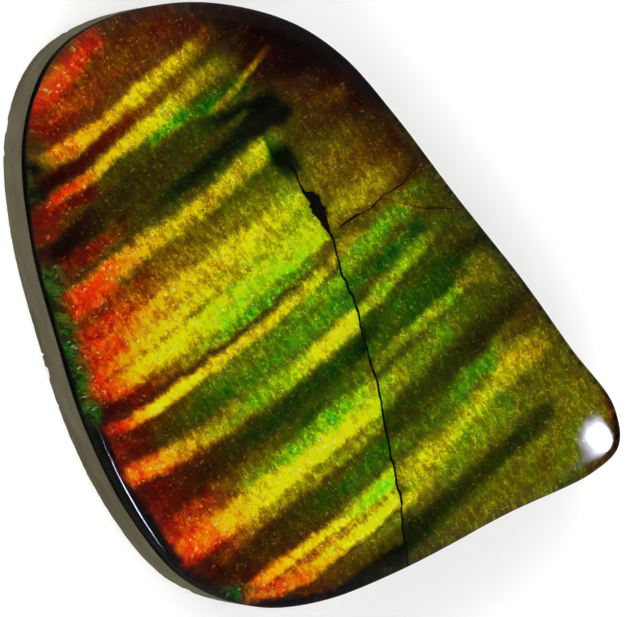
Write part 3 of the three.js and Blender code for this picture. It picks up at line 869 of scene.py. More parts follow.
@dataclass
class ShaleBacking(Layer):
    """The ground shale slab, with a chamfer and small chips round its foot.

    All lengths are in mm.

    Attributes:
        chamfer: Arris taken off round the foot.
        saw_marks: Depth of the unevenness of its upright edge.
        marks: What the unevenness is made of: (share, length of a mark, how many times longer
            than high it is, seed).
        true_edge: Height below the joint over which the edge comes true to the outline.
        chip: Length of a chip.
        chip_depth: Depth of a chip.
        chip_limit: The noise at which a chip starts, and how much more makes it whole.
        chip_top: How high the chips reach, how much that varies, and its blur.
        spokes: Points round the outline.
        foot_levels: Levels of points below the chamfer's upper arris.
        edge_levels: Number of levels between that arris and `last_level`.
        last_level: Distance of the last of these below the joint.
        rings: Rings of points on both faces, as shares of the way out from the middle.
    """

    chamfer: float = 0.12
    saw_marks: float = 0.012
    marks: tuple[tuple[float, float, float, int], ...] = ((0.6, 0.5, 3.0, 11), (0.4, 0.12, 1.0, 12))
    true_edge: float = 0.1
    chip: float = 0.2
    chip_depth: float = 0.07
    chip_limit: tuple[float, float] = (0.72, 0.2)
    chip_top: tuple[float, float, float] = (0.26, 0.08, 0.16)
    spokes: int = 960
    foot_levels: tuple[float, ...] = (0.0, 0.04, 0.08)
    edge_levels: int = 22
    last_level: float = 0.02
    rings: tuple[float, ...] = (1.0, 0.97, 0.6, 0.0)
    node = "shale_backing"
    slot = "shale"
    sharp_angle = 35.0

    def patches(self) -> list[Array]:
        """Works out the edge from foot to joint, and both faces as rings round the middle.

        The edge stands back from the outline by the chamfer, plus the saw marks, plus the
        chips. The saw marks are fields of noise over (way round, height), and the depth and
        the height of the chips are fields of noise over the way round.

        Returns:
            The edge, the upper face and the lower face.
        """
        x, y = self.outline.loop(self.spokes)
        run = np.concatenate([[0.0], np.cumsum(np.hypot(np.diff(x), np.diff(y)))])[:, None]
        top = self.outline.top
        upright = np.linspace(self.chamfer, top - self.last_level, self.edge_levels)
        levels = np.concatenate([self.foot_levels, upright, [top]])[None, :]
        wear = sum(share * (value_noise(run, levels * longer, size, seed) + 1)
                   for share, size, longer, seed in self.marks)
        wear = wear * smooth((top - levels) / self.true_edge)
        limit, blur = self.chip_limit
        chips = smooth((value_noise(run, 0 * run, self.chip, 13) - limit) / blur) * self.chip_depth
        height, change, blur = self.chip_top
        height = height + change * value_noise(run, 0 * run, self.chip, 14)
        back = (np.maximum(self.chamfer - levels, 0.0) + self.saw_marks * wear
                + chips * smooth((height - levels) / blur))
        back[-1] = back[0]
        share = 1 - back / np.hypot(x, y)[:, None]
        edge = np.stack([x[:, None] * share, y[:, None] * share,
                         np.broadcast_to(levels, share.shape)], -1)
        rings = np.array(self.rings)[None, :, None] * np.array([1.0, 1.0, 0.0])
        flat = rings + np.array([0.0, 0.0, 1.0])
        return [edge, edge[:, -1:] * flat, edge[:, :1] * flat]

    def finish(self) -> bpy.types.Material:
        """Ground shale."""
        return Shale().material()


@dataclass
class ShellSheet(Layer):
    """The iridescent sheet, meshed by lines that run along the ribs from edge to edge.

    All lengths are in mm.

    Attributes:
        face: Its upper face.
        rim: What its rim does to the nacre.
        pitch: Distance between the lines.
        rows: Points on each line.
        end_reach: Depth at each end where the lines close up, as the squares of their number.
        end_lines: Lines in that depth.
        inset: How far it stands back from the outline.
        trace: Points on the outline by which the lines' ends are found.
        wall_glow: Brightness of its edge and foot.
    """

    face: ShellFace
    rim: Rim = Rim()
    pitch: float = 0.056
    rows: int = 232
    end_reach: float = 0.6
    end_lines: int = 18
    inset: float = 0.01
    trace: int = 4000
    wall_glow: float = 0.12
    node = "ammolite_layer"
    slot = "ammolite"

    def line_ends(self) -> tuple[Array, Array, Array]:
        """Finds where each line starts and stops.

        Returns:
            The lines' `across`, and `along` at their two ends.
        """
        x, y = self.outline.loop(self.trace, self.inset)
        along, sideways = RIBS.to_ribs(x[:-1], y[:-1])
        across = sideways - RIBS.drift(along)
        first = int(across.argmin())
        along, across = np.roll(along, -first), np.roll(across, -first)
        last = int(across.argmax())
        low, high = float(across[0]), float(across[last])
        steps = self.end_reach * (np.arange(self.end_lines) / self.end_lines) ** 2
        middle = np.arange(low + self.end_reach, high - self.end_reach, self.pitch)
        lines = np.concatenate([low + steps, middle, high - steps[::-1]])
        there = np.interp(lines, across[:last + 1], along[:last + 1])
        back = np.interp(lines, np.append(across[last:], low)[::-1],
                         np.append(along[last:], along[0])[::-1])
        there[-1] = back[-1] = along[last]
        return lines, there, back

    def patches(self) -> list[Array]:
        """Works out the upper face, its two edges and the foot.

        A line keeps its `across`, and its points share out its length along the ribs.

        Returns:
            The upper face, the edge at the lines' starts, the edge at their stops, and the foot.
        """
        lines, start, stop = self.line_ends()
        share = np.linspace(0.0, 1.0, self.rows)[None, :]
        along = start[:, None] * (1 - share) + stop[:, None] * share
        x, y = RIBS.from_ribs(along, lines[:, None] + RIBS.drift(along))
        top = np.stack([x, y, self.face.height(x, y)], -1)
        foot = top.copy()
        foot[..., 2] = self.outline.top
        edges = [np.stack([top[:, k], foot[:, k]], axis=1) for k in (0, -1)]
        return [top, *edges, np.stack([foot[:, 0], foot[:, -1]], axis=1)]

    def fields(self, patches: list[Array]) -> dict[str, list[Array]]:
        """Works out what the nacre reads at each point.

        Args:
            patches: The sheet's patches, the upper face first.

        Returns:
            The hue, the glow, the rim's green and the light that the painted shade at its edge
            leaves, and for each crack the distance off it and its half width: one array for each
            patch.
        """
        found: dict[str, list[Array]] = {}
        for patch in patches:
            x, y = patch[..., 0], patch[..., 1]
            along, sideways = RIBS.to_ribs(x, y)
            hue, glow = colour_fields(along, sideways)
            if patch is not patches[0]:
                glow = np.full_like(glow, self.wall_glow)
            hue, fringe, painted_rim_shade_factor = self.rim.fields(hue, x, y, self.outline.inset(x, y))
            values = {"hue": hue, "glow": glow, "fringe": fringe, "painted_rim_shade_factor": painted_rim_shade_factor}
            for number, crack in enumerate((MAIN_CRACK, *SIDE_CRACKS)):
                values[f"crack_{number}"], values[f"half_{number}"] = crack.offset(along, sideways)
            for label, value in values.items():
                found.setdefault(label, []).append(value)
        return found

    def finish(self) -> bpy.types.Material:
        """Wrinkled nacre."""
        return Nacre().material()


@dataclass
class ClearCap(Layer):
    """The quartz cap: an upright girdle, a small shoulder and the dome.

    All lengths are in mm.

    Attributes:
        face: The shell's face, which the underside follows.
        dome: The dome above the shoulder.
        girdle: Height of the girdle above the shell's troughs.
        girdle_rows: Rows of points on the girdle.
        shoulder: Height and plan width of the shoulder's quarter round.
        shoulder_rings: Rings of points on it, at equal angles.
        rim_rings: Rings on the dome's rim, inside the shoulder.
        rim_pitch: Distance of the first of these from the shoulder.
        rim_growth: Ring k is `rim_pitch` times k to this power from the shoulder.
        middle_rings: Rings inside these, evenly to the middle.
        bury: How far the underside dips into the cement, so that no film of air is left.
        edge_bury: How far it dips at the outline.
        bury_blur: Distance in from the outline over which the one turns to the other.
        spokes: Points round the outline.
    """

    face: ShellFace
    dome: SoapFilm
    girdle: float = 0.35
    girdle_rows: int = 5
    shoulder: float = 0.2
    shoulder_rings: int = 9
    rim_rings: int = 7
    rim_pitch: float = 0.12
    rim_growth: float = 1.15
    middle_rings: int = 43
    bury: float = 0.035
    edge_bury: float = 0.01
    bury_blur: float = 0.3
    spokes: int = 512
    node = "clear_cap"
    slot = "cap"
    sharp_angle = 50.0

    def patches(self) -> list[Array]:
        """Works out the cap as rings round the middle.

        The top is the girdle's height, plus the shoulder's quarter round, plus the dome. The
        underside is the shell's face, less what it dips into the cement.

        Returns:
            The top, the underside and the girdle.
        """
        x, y = self.outline.loop(self.spokes)
        depth = np.hypot(x, y)[:, None]
        angles = np.linspace(0, math.pi / 2, self.shoulder_rings)
        rim = self.rim_pitch * np.arange(1, self.rim_rings + 1) ** self.rim_growth
        insets = np.concatenate([self.shoulder * (1 - np.cos(angles)), self.shoulder + rim])
        inwards = np.linspace(1, 0, self.middle_rings + 1)[None, 1:]
        share = np.concatenate([1 - insets[None, :] / depth,
                                (1 - insets[-1] / depth) * inwards], 1)
        px, py = x[:, None] * share, y[:, None] * share
        inset = depth * (1 - share)
        rounding = np.sqrt(np.clip(1 - (1 - np.minimum(inset / self.shoulder, 1)) ** 2, 0, 1))
        foot = self.face.base + self.face.thickness + self.girdle
        top_z = foot + self.shoulder * rounding + self.dome.height(px, py)
        top_z[:, 0] = foot
        dip = self.edge_bury + (self.bury - self.edge_bury) * smooth(inset / self.bury_blur)
        under_z = self.face.height(px, py) - dip
        for height in (top_z, under_z):
            height[:, -1] = height[:, -1].mean()
        px[:, -1] = py[:, -1] = 0.0
        top = np.stack([px, py, top_z], -1)
        under = np.stack([px, py, under_z], -1)
        rise = np.linspace(0, 1, self.girdle_rows)[None, :, None]
        return [top, under, under[:, :1] * (1 - rise) + top[:, :1] * rise]

    def finish(self) -> bpy.types.Material:
        """Polished quartz."""
        return Quartz().material()


# --------------------------------------------------------------------------------------
# Materials
# --------------------------------------------------------------------------------------

@dataclass
class Look:
    """A material under construction.

    Attributes:
        name: The material's name.
        material: The material itself.
        add: Adds one node to it, as `add_node` does.
    """

    name: str
    material: bpy.types.Material = field(init=False)
    add: Callable[..., bpy.types.Node] = field(init=False)

    def __post_init__(self) -> None:
        """Makes the material, without any node."""
        self.material = bpy.data.materials.new(self.name)
        self.material.use_nodes = True
        self.material.node_tree.nodes.clear()
        self.add = partial(add_node, self.material.node_tree)

    def place(self, size: Size, turn: float = 0.0, push: float = 0.0) -> bpy.types.Node:
        """Object coordinates, turned about the upright axis and counted in features.

        Args:
            size: Size of a feature along each axis, in mm.
            turn: Angle in radians.
            push: How far noise pushes the places about, so that the shapes turn out uneven.

        Returns:
            The node that gives the places.
        """
        where = self.add("TexCoord").outputs["Object"]
        turned = self.add("Mapping", {"Vector": where, "Rotation": (0, 0, turn),
                                      "Scale": (1 / MM,) * 3})
        places = self.add("VectorMath", (turned, tuple(1 / side for side in size)),
                          operation="MULTIPLY")
        if not push:
            return places
        noise = self.add("TexNoise", {"Vector": places, "Scale": 2.0, "Detail": 1.0})
        away = self.add("VectorMath", (noise.outputs["Color"], (0.5,) * 3), operation="SUBTRACT")
        return self.add("VectorMath", (away, (push,) * 3, places), operation="MULTIPLY_ADD")

    def pattern(self, size: Size, turn: float = 0.0, push: float = 0.0, detail: float = 2.0,
                distortion: float = 0.0) -> bpy.types.Node:
        """Uneven features of a real size: a value between about 0.25 and 0.75.

        Args:
            size: Size of a feature along each axis, in mm.
            turn: Angle about the upright axis, in radians.
            push: As for `place`.
            detail: How many times finer features are added.
            distortion: How much the features swirl.

        Returns:
            The node that gives the value.
        """
        return self.add("TexNoise", {"Vector": self.place(size, turn, push), "Scale": 1.0,
                                     "Detail": detail, "Distortion": distortion})

    def palette(self, value: Feed, stops: tuple[tuple[float, str], ...]) -> bpy.types.Node:
        """Turns a value to a colour, straight from stop to stop.

        Args:
            value: What picks the colour.
            stops: Values, and the colour of each as sRGB hex.

        Returns:
            The node that gives the colour.
        """
        node = self.add("ValToRGB", (value,))
        elements = node.color_ramp.elements
        elements[0].position, elements[0].color = stops[0][0], linear(stops[0][1])
        elements[1].position, elements[1].color = stops[-1][0], linear(stops[-1][1])
        for position, code in stops[1:-1]:
            elements.new(position).color = linear(code)
        return node

    def finished(self, inputs: dict[str, Feed]) -> bpy.types.Material:
        """Gives the material its Principled shader and its output.

        Args:
            inputs: What the shader's inputs get, by name.

        Returns:
            The material.
        """
        shader = self.add("BsdfPrincipled", inputs)
        self.add("OutputMaterial", {"Surface": shader})
        return self.material


@dataclass(frozen=True)
class Nacre:
    """Ammolite: iridescent aragonite nacre of a fossil ammonite, wrinkled like foil.

    Its thin plates shine in interference colours, most on the ribs. Wrinkles, grain and
    single plates break the shine up. The shine is painted into the colour: painted sheen,
    painted light and shade on the wrinkles and grain, and painted glints on the crests and
    single plates. Sizes are in mm: along the ribs, across and upright.
    Each ramp is a smoothstep of what its name or its line says.

    Attributes:
        wrinkle: A wrinkle; they lie across the ribs.
        curl: A curl; along the edges of curls thin crests are painted as glints.
        patch: A patch of plates alike.
        grain: The finest grain of the plates.
        plate: Spacing of single plates, of which one in three gets a painted glint, most of them
            faint.
        crumb: The raggedness of a crack's edge.
        turn: Turn from the ribs to the X axis, in radians.
        wander: How far the hue wanders with the patches, and with the grain.
        shade_by_wrinkle: Painted light and shade that the wrinkles add to the shine.
        shade_by_grain: Painted light and shade that the grain adds.
        shade_by_patch: What the patches add.
        shade_middle: What these three add on the whole, which is taken off again.
        depth_by_glow: How much of that painted shade there is; a faint shine is smoother.
        depth_by_hue: The same by hue; reds are smoother.
        crest: The painted glint that a crest adds, by the distance of the curls' noise from
            its middle.
        crest_by_glow: How much of the crests' painted glint there is.
        crest_by_wrinkle: Crests lie on the wrinkles' upper parts.
        contrast: Exponent from brightness as the eye reads it to light; it deepens wrinkles too.
        gain: Light of a faint shine, as a multiple of that power.
        level: How soon a strong shine levels off.
        most: The most light, where white paper is one.
        spark: Colour of a plate's painted glint.
        spark_share: How much of that colour there is next to the plate's own.
        spark_light: Painted light of such a glint.
        spark_power: Exponent of the glow; sparkles come with a strong shine.
        dot: The shape of a sparkle, by the distance from its middle.
        spark_by_draw: How much a plate sparkles, by the number that it draws.
        green: Colour of the thin plates at the rim.
        green_by_wrinkle: Painted light and shade of the rim by its wrinkles.
        green_by_grain: How much of the rim's share the grain leaves.
        green_spark: Colour of the rim's painted glints.
        green_spark_share: How much of that colour there is.
        filling: Colour of the dark matrix that fills the cracks.
        crack_by_crumb: A crack's width, as a multiple of its own.
        crack_edge: The edge of a crack, by the distance off it over its half width.
        least_half: The least half width, in mm, so that nothing is divided by nothing.
        cap_loss: What the cap leaves of faint light, and how much more of strong light it lets
            through.
        palest: The palest paint.
        relief: Height of the wrinkles.
        grain_relief: Height of the grain, as a part of the wrinkles'.
    """

    wrinkle: Size = (0.133, 0.294, 0.333)
    curl: Size = (0.278, 0.385, 0.333)
    patch: Size = (0.417, 0.556, 1.0)
    grain: Size = (0.077, 0.111, 0.1)
    plate: Size = (0.143, 0.111, 0.125)
    crumb: Size = (0.167, 0.167, 0.167)
    turn: float = -RIBS.bearing
    wander: tuple[float, float] = (0.4, 0.16)
    shade_by_wrinkle: Ramp = (0.42, 0.6, 0.0, 0.26)
    shade_by_grain: Ramp = (0.4, 0.66, 0.0, 0.12)
    shade_by_patch: Ramp = (0.3, 0.7, 0.0, 0.16)
    shade_middle: float = 0.28
    depth_by_glow: Ramp = (0.2, 0.75, 0.4, 1.2)
    depth_by_hue: Ramp = (0.0, 0.3, 0.65, 1.0)
    crest: Ramp = (0.0, 0.034, 0.42, 0.0)
    crest_by_glow: Ramp = (0.2, 0.7, 0.65, 1.1)
    crest_by_wrinkle: Ramp = (0.4, 0.55, 0.0, 1.0)
    contrast: float = 3.35
    gain: float = 1.78
    level: float = 0.36
    most: float = 1.3
    spark: str = "ffe070"
    spark_share: float = 0.5
    spark_light: float = 2.6
    spark_power: float = 2.4
    dot: Ramp = (0.03, 0.28, 1.0, 0.0)
    spark_by_draw: Ramp = (0.68, 1.0, 0.0, 0.85)
    green: str = "34ac1e"
    green_by_wrinkle: Ramp = (0.4, 0.62, 0.03, 0.19)
    green_by_grain: Ramp = (0.3, 0.6, 0.75, 1.0)
    green_spark: str = "d0f090"
    green_spark_share: float = 0.5
    filling: str = "0c0703"
    crack_by_crumb: Ramp = (0.3, 0.7, 0.8, 1.25)
    crack_edge: Ramp = (0.75, 1.15, 1.0, 0.0)
    least_half: float = 0.0001
    cap_loss: tuple[float, float] = (0.36, 0.6)
    palest: float = 0.98
    relief: float = 0.02
    grain_relief: float = 0.4

    def material(self) -> bpy.types.Material:
        """Lays the shine, the sparkles, the green rim and the cracks over one another.

        Returns:
            The material.
        """
        look = Look("ammolite_nacre")
        add = look.add
        wrinkles = look.pattern(self.wrinkle, self.turn, push=1.6, detail=1.2)
        patches = look.pattern(self.patch, self.turn, distortion=0.6)
        grain = look.pattern(self.grain, self.turn, detail=1.0, distortion=0.6)
        hue, glow, fringe, painted_rim_shade_factor = (add("Attribute", attribute_name=label).outputs["Fac"]
                                   for label in ("hue", "glow", "fringe", "painted_rim_shade_factor"))
        by_patch, by_grain = self.wander
        wander = add("Math", (patches, by_patch, -0.5 * (by_patch + by_grain)),
                     operation="MULTIPLY_ADD")
        wander = add("Math", (grain, by_grain, wander), operation="MULTIPLY_ADD")
        hue = add("Math", (hue, wander), operation="ADD")
        glow = add("Math", (glow, 0.0), operation="MAXIMUM")
        own = look.palette(hue, PALETTE)
        # Painted sheen: the palette's colour times the painted light and shade of the plates.
        light = self.light(look, hue, glow, wrinkles, patches, grain)
        shine = add("VectorMath", {0: own, "Scale": light}, operation="SCALE")
        # Painted glints: single plates turn pale gold and brighter than the shine.
        sparkle = self.sparkle(look)
        spark = add("Mix", {0: self.spark_share, 6: own, 7: linear(self.spark)}, data_type="RGBA")
        spark = add("VectorMath", {0: spark.outputs[2], "Scale": self.spark_light},
                    operation="SCALE")
        share = add("Math", (glow, self.spark_power), operation="POWER")
        share = add("Math", (sparkle, share), operation="MULTIPLY")
        shine = add("Mix", {0: share, 6: shine, 7: spark}, data_type="RGBA")
        # The green rim: the same painted light and shade of the wrinkles and painted glints over
        # thin dark plates.
        light = add("MapRange", (wrinkles, *self.green_by_wrinkle), **SMOOTHSTEP)
        rim = add("VectorMath", {0: linear(self.green)[:3], "Scale": light}, operation="SCALE")
        share = add("Math", (sparkle, self.green_spark_share), operation="MULTIPLY")
        rim = add("Mix", {0: share, 6: rim, 7: linear(self.green_spark)}, data_type="RGBA")
        share = add("MapRange", (grain, *self.green_by_grain), **SMOOTHSTEP)
        share = add("Math", (fringe, share), operation="MULTIPLY")
        seen = add("Mix", {0: share, 6: shine.outputs[2], 7: rim.outputs[2]}, data_type="RGBA")
        # Painted shade along the rim, darkest at the outline.
        seen = add("VectorMath", {0: seen.outputs[2], "Scale": painted_rim_shade_factor}, operation="SCALE")
        cracked = self.cracked(look)
        paint = add("Mix", {0: cracked, 6: self.under_cap(look, seen), 7: linear(self.filling)},
                    data_type="RGBA")
        height = add("Math", (grain, self.grain_relief, wrinkles), operation="MULTIPLY_ADD")
        height = add("Math", (height, cracked), operation="SUBTRACT")
        normal = add("Bump", {"Strength": 1.0, "Distance": self.relief * MM, "Height": height})
        return look.finished({"Base Color": paint.outputs[2], "Roughness": 0.5, "IOR": 1.55,
                              "Specular IOR Level": 0.05, "Normal": normal})

    def light(self, look: Look, hue: Feed, glow: Feed, wrinkles: Feed, patches: Feed,
              grain: Feed) -> bpy.types.Node:
        """How much light the plates send back.

        The light is painted into the colour. The glow, times one plus the painted shade of the
        wrinkles, grain and patches and the painted glints of the crests, is raised to the
        contrast; then p becomes gain times p over one plus level times p, so that bright crests
        level off.

        Args:
            look: The material.
            hue: The hue's place in the palette.
            glow: The band's brightness as the eye reads it, partly painted sheen.
            wrinkles: The wrinkles' noise.
            patches: The patches' noise.
            grain: The grain's noise.

        Returns:
            The node that gives the painted light, where white paper is one.
        """
        add = look.add
        shade = -self.shade_middle
        for value, ramp in ((wrinkles, self.shade_by_wrinkle), (grain, self.shade_by_grain),
                            (patches, self.shade_by_patch)):
            more = add("MapRange", (value, *ramp), **SMOOTHSTEP)
            shade = add("Math", (more, shade), operation="ADD")
        for value, ramp in ((glow, self.depth_by_glow), (hue, self.depth_by_hue)):
            depth = add("MapRange", (value, *ramp), **SMOOTHSTEP)
            shade = add("Math", (shade, depth), operation="MULTIPLY")
        curls = look.pattern(self.curl, self.turn, push=1.2, detail=1.5)
        off = add("Math", (curls, 0.5), operation="SUBTRACT")
        off = add("Math", (off,), operation="ABSOLUTE")
        crest = add("MapRange", (off, *self.crest), **SMOOTHSTEP)
        for value, ramp in ((glow, self.crest_by_glow), (wrinkles, self.crest_by_wrinkle)):
            depth = add("MapRange", (value, *ramp), **SMOOTHSTEP)
            crest = add("Math", (crest, depth), operation="MULTIPLY")
        shade = add("Math", (shade, crest), operation="ADD")
        power = add("Math", (glow, shade, glow), operation="MULTIPLY_ADD")
        power = add("Math", (power, self.contrast), operation="POWER")
        light = add("Math", (power, self.gain), operation="MULTIPLY")
        level = add("Math", (power, self.level, 1.0), operation="MULTIPLY_ADD")
        light = add("Math", (light, level), operation="DIVIDE")
        return add("Math", (light, self.most), operation="MINIMUM")

    def sparkle(self, look: Look) -> bpy.types.Node:
        """Lets single plates catch the light: dots in the cells of a Voronoi diagram.

        The glints are painted into the colour. Each cell draws a number, which says how much its
        plate sparkles, if it does.

        Args:
            look: The material.

        Returns:
            The node that gives the painted glint's share.
        """
        where = look.place(self.plate, self.turn, push=1.5)
        cells = look.add("TexVoronoi", {"Vector": where, "Scale": 1.0, "Randomness": 1.0},
                         voronoi_dimensions="2D")
        draw = look.add("SeparateColor", (cells.outputs["Color"],))
        dot = look.add("MapRange", (cells.outputs["Distance"], *self.dot), **SMOOTHSTEP)
        lit = look.add("MapRange", (draw, *self.spark_by_draw), **SMOOTHSTEP)
        return look.add("Math", (dot, lit), operation="MULTIPLY")

    def cracked(self, look: Look) -> bpy.types.Node:
        """Finds the cracks, by the distance off each one over its half width.

        Args:
            look: The material.

        Returns:
            The node that gives one inside a crack, and nothing beside it.
        """
        add = look.add
        crumbs = look.pattern(self.crumb, self.turn)
        ragged = add("MapRange", (crumbs, *self.crack_by_crumb), **SMOOTHSTEP)
        cracked = 0.0
        for number in range(1 + len(SIDE_CRACKS)):
            off, half = (add("Attribute", attribute_name=f"{label}_{number}").outputs["Fac"]
                         for label in ("crack", "half"))
            half = add("Math", (half, ragged), operation="MULTIPLY")
            half = add("Math", (half, self.least_half), operation="MAXIMUM")
            off = add("Math", (off,), operation="ABSOLUTE")
            ratio = add("Math", (off, half), operation="DIVIDE")
            inside = add("MapRange", (ratio, *self.crack_edge), **SMOOTHSTEP)
            cracked = add("Math", (inside, cracked), operation="MAXIMUM")
        return cracked

    def under_cap(self, look: Look, colour: Feed) -> bpy.types.Node:
        """Works out the paint that shows as a given colour through the cap.

        Light that the cap turns back into the shell is lost, so the paint is brighter: it is
        c / (a + b c), where c is the colour seen and a and b are the cap's losses, and it is
        never paler than the palest.

        Args:
            look: The material.
            colour: The colour seen.

        Returns:
            The node that gives the paint.
        """
        faint, strong = self.cap_loss
        loss = look.add("VectorMath", (colour, (strong,) * 3, (faint,) * 3),
                        operation="MULTIPLY_ADD")
        paint = look.add("VectorMath", (colour, loss), operation="DIVIDE")
        return look.add("VectorMath", (paint, (self.palest,) * 3), operation="MINIMUM")


@dataclass(frozen=True)
class Quartz:
    """Synthetic quartz, polished: clear and without colour, with a glassy shine."""

    roughness: float = 0.0
    ior: float = 1.54

    def material(self) -> bpy.types.Material:
        """Plain transmission; what shows in it is the nacre underneath.

        Returns:
            The material.
        """
        return Look("clear_quartz").finished({
            "Base Color": linear("ffffff"), "Roughness": self.roughness, "IOR": self.ior,
            "Transmission Weight": 1.0})


@dataclass(frozen=True)
class Shale:
    """Olive-grey shale, ground and half polished: fine and even, with a dull satin shine.

    Sizes are in mm: along X, along Y and upright. Each ramp is a smoothstep of what its name
    ends with.

    Attributes:
        bed: Size of the bedding's bands.
        mottle: Size of the lighter mottles.
        speck: Size of the dark specks.
        tones: Colours between which the bedding changes.
        tone_by_bed: Where between them it is.
        mottle_tone: Colour of the mottles.
        share_by_mottle: How much of it there is.
        speck_tone: Colour of the specks.
        share_by_speck: How much of it there is.
        dull_by_mottle: Roughness.
        relief: Height of the unevenness of the ground surface.
        speck_relief: The specks' height, as a part of the mottles'.
    """

    bed: Size = (3.3, 3.3, 1.25)
    mottle: Size = (0.83, 0.83, 0.63)
    speck: Size = (0.11, 0.11, 0.11)
    tones: tuple[str, str] = ("48432d", "544f39")
    tone_by_bed: Ramp = (0.3, 0.7, 0.0, 1.0)
    mottle_tone: str = "625d49"
    share_by_mottle: Ramp = (0.4, 0.7, 0.0, 0.35)
    speck_tone: str = "3a3628"
    share_by_speck: Ramp = (0.62, 0.74, 0.0, 0.6)
    dull_by_mottle: Ramp = (0.3, 0.7, 0.36, 0.5)
    relief: float = 0.006
    speck_relief: float = 0.6

    def material(self) -> bpy.types.Material:
        """Lays mottles and specks over the bedding, on a fine uneven surface.

        Returns:
            The material.
        """
        look = Look("grey_shale")
        add = look.add
        bedding = look.pattern(self.bed, detail=3.0, distortion=0.3)
        mottle = look.pattern(self.mottle, detail=3.0)
        speck = look.pattern(self.speck)
        bedding = add("MapRange", (bedding, *self.tone_by_bed), **SMOOTHSTEP)
        colour = look.palette(bedding, tuple(enumerate(self.tones))).outputs[0]
        for value, ramp, tone in ((mottle, self.share_by_mottle, self.mottle_tone),
                                  (speck, self.share_by_speck, self.speck_tone)):
            share = add("MapRange", (value, *ramp), **SMOOTHSTEP)
            colour = add("Mix", {0: share, 6: colour, 7: linear(tone)}, data_type="RGBA").outputs[2]
        height = add("Math", (speck, self.speck_relief, mottle), operation="MULTIPLY_ADD")
        normal = add("Bump", {"Strength": 1.0, "Distance": self.relief * MM, "Height": height})
        dull = add("MapRange", (mottle, *self.dull_by_mottle), **SMOOTHSTEP)
        return look.finished({"Base Color": colour, "Roughness": dull, "IOR": 1.52,
                              "Normal": normal})


@dataclass(frozen=True)
class Paper:
    """A matt white sheet with a little light of its own, so that it is as bright as the tent."""

    tone: str = "fafaf9"
    own_light: float = 0.12

    def material(self) -> bpy.types.Material:
        """Plain, as paper is.

        Returns:
            The material.
        """
        return Look("white_paper").finished({
            "Base Color": linear(self.tone), "Roughness": 0.9,
            "Emission Color": linear("ffffff"), "Emission Strength": self.own_light})


# --------------------------------------------------------------------------------------
# The studio
# --------------------------------------------------------------------------------------

RIGHT = Vector((math.cos(math.radians(33.4)), math.sin(math.radians(33.4)), 0.0))
FORTH = Vector((-RIGHT.y, RIGHT.x, 0.0))
UP = Vector((0.0, 0.0, 1.0))


@dataclass(frozen=True)
class Window:
    """A three-cornered opening in the tent, seen only as a glint in the polish.

    Attributes:
        strength: How bright it is, where white paper is one.
        blur: Width of its soft edge, in radians.
        corners: Their directions, by picture right, picture up and upright.
    """

    strength: float
    blur: float
    corners: tuple[tuple[float, float, float], ...]

    def sides(self) -> list[Vector]:
        """Works out the planes through its sides and the point that is looked from.

        Returns:
            Directions square to its three sides, pointing inwards.
        """
        corners = [right * RIGHT + forth * FORTH + up * UP for right, forth, up in self.corners]
        middle = sum(corners, Vector())
        walls = [a.cross(b).normalized() for a, b in zip(corners, corners[1:] + corners[:1])]
        return [wall if wall.dot(middle) > 0 else -wall for wall in walls]

    def glint(self, tree: bpy.types.NodeTree, direction: Feed, mirror: Feed) -> bpy.types.Node:
        """Adds its light to a node tree: full between its sides, for mirrored rays alone.

        Args:
            tree: The world's node tree.
            direction: The direction looked in.
            mirror: One for a mirrored ray, and nothing for any other.

        Returns:
            The node that gives its strength.
        """
        glint = add_node(tree, "Math", (mirror, self.strength), operation="MULTIPLY")
        for side in self.sides():
            inside = add_node(tree, "VectorMath", (direction, tuple(side)),
                              operation="DOT_PRODUCT").outputs["Value"]
            inside = add_node(tree, "MapRange", (inside, 0.0, self.blur), **SMOOTHSTEP)
            glint = add_node(tree, "Math", (glint, inside), operation="MULTIPLY")
        return glint


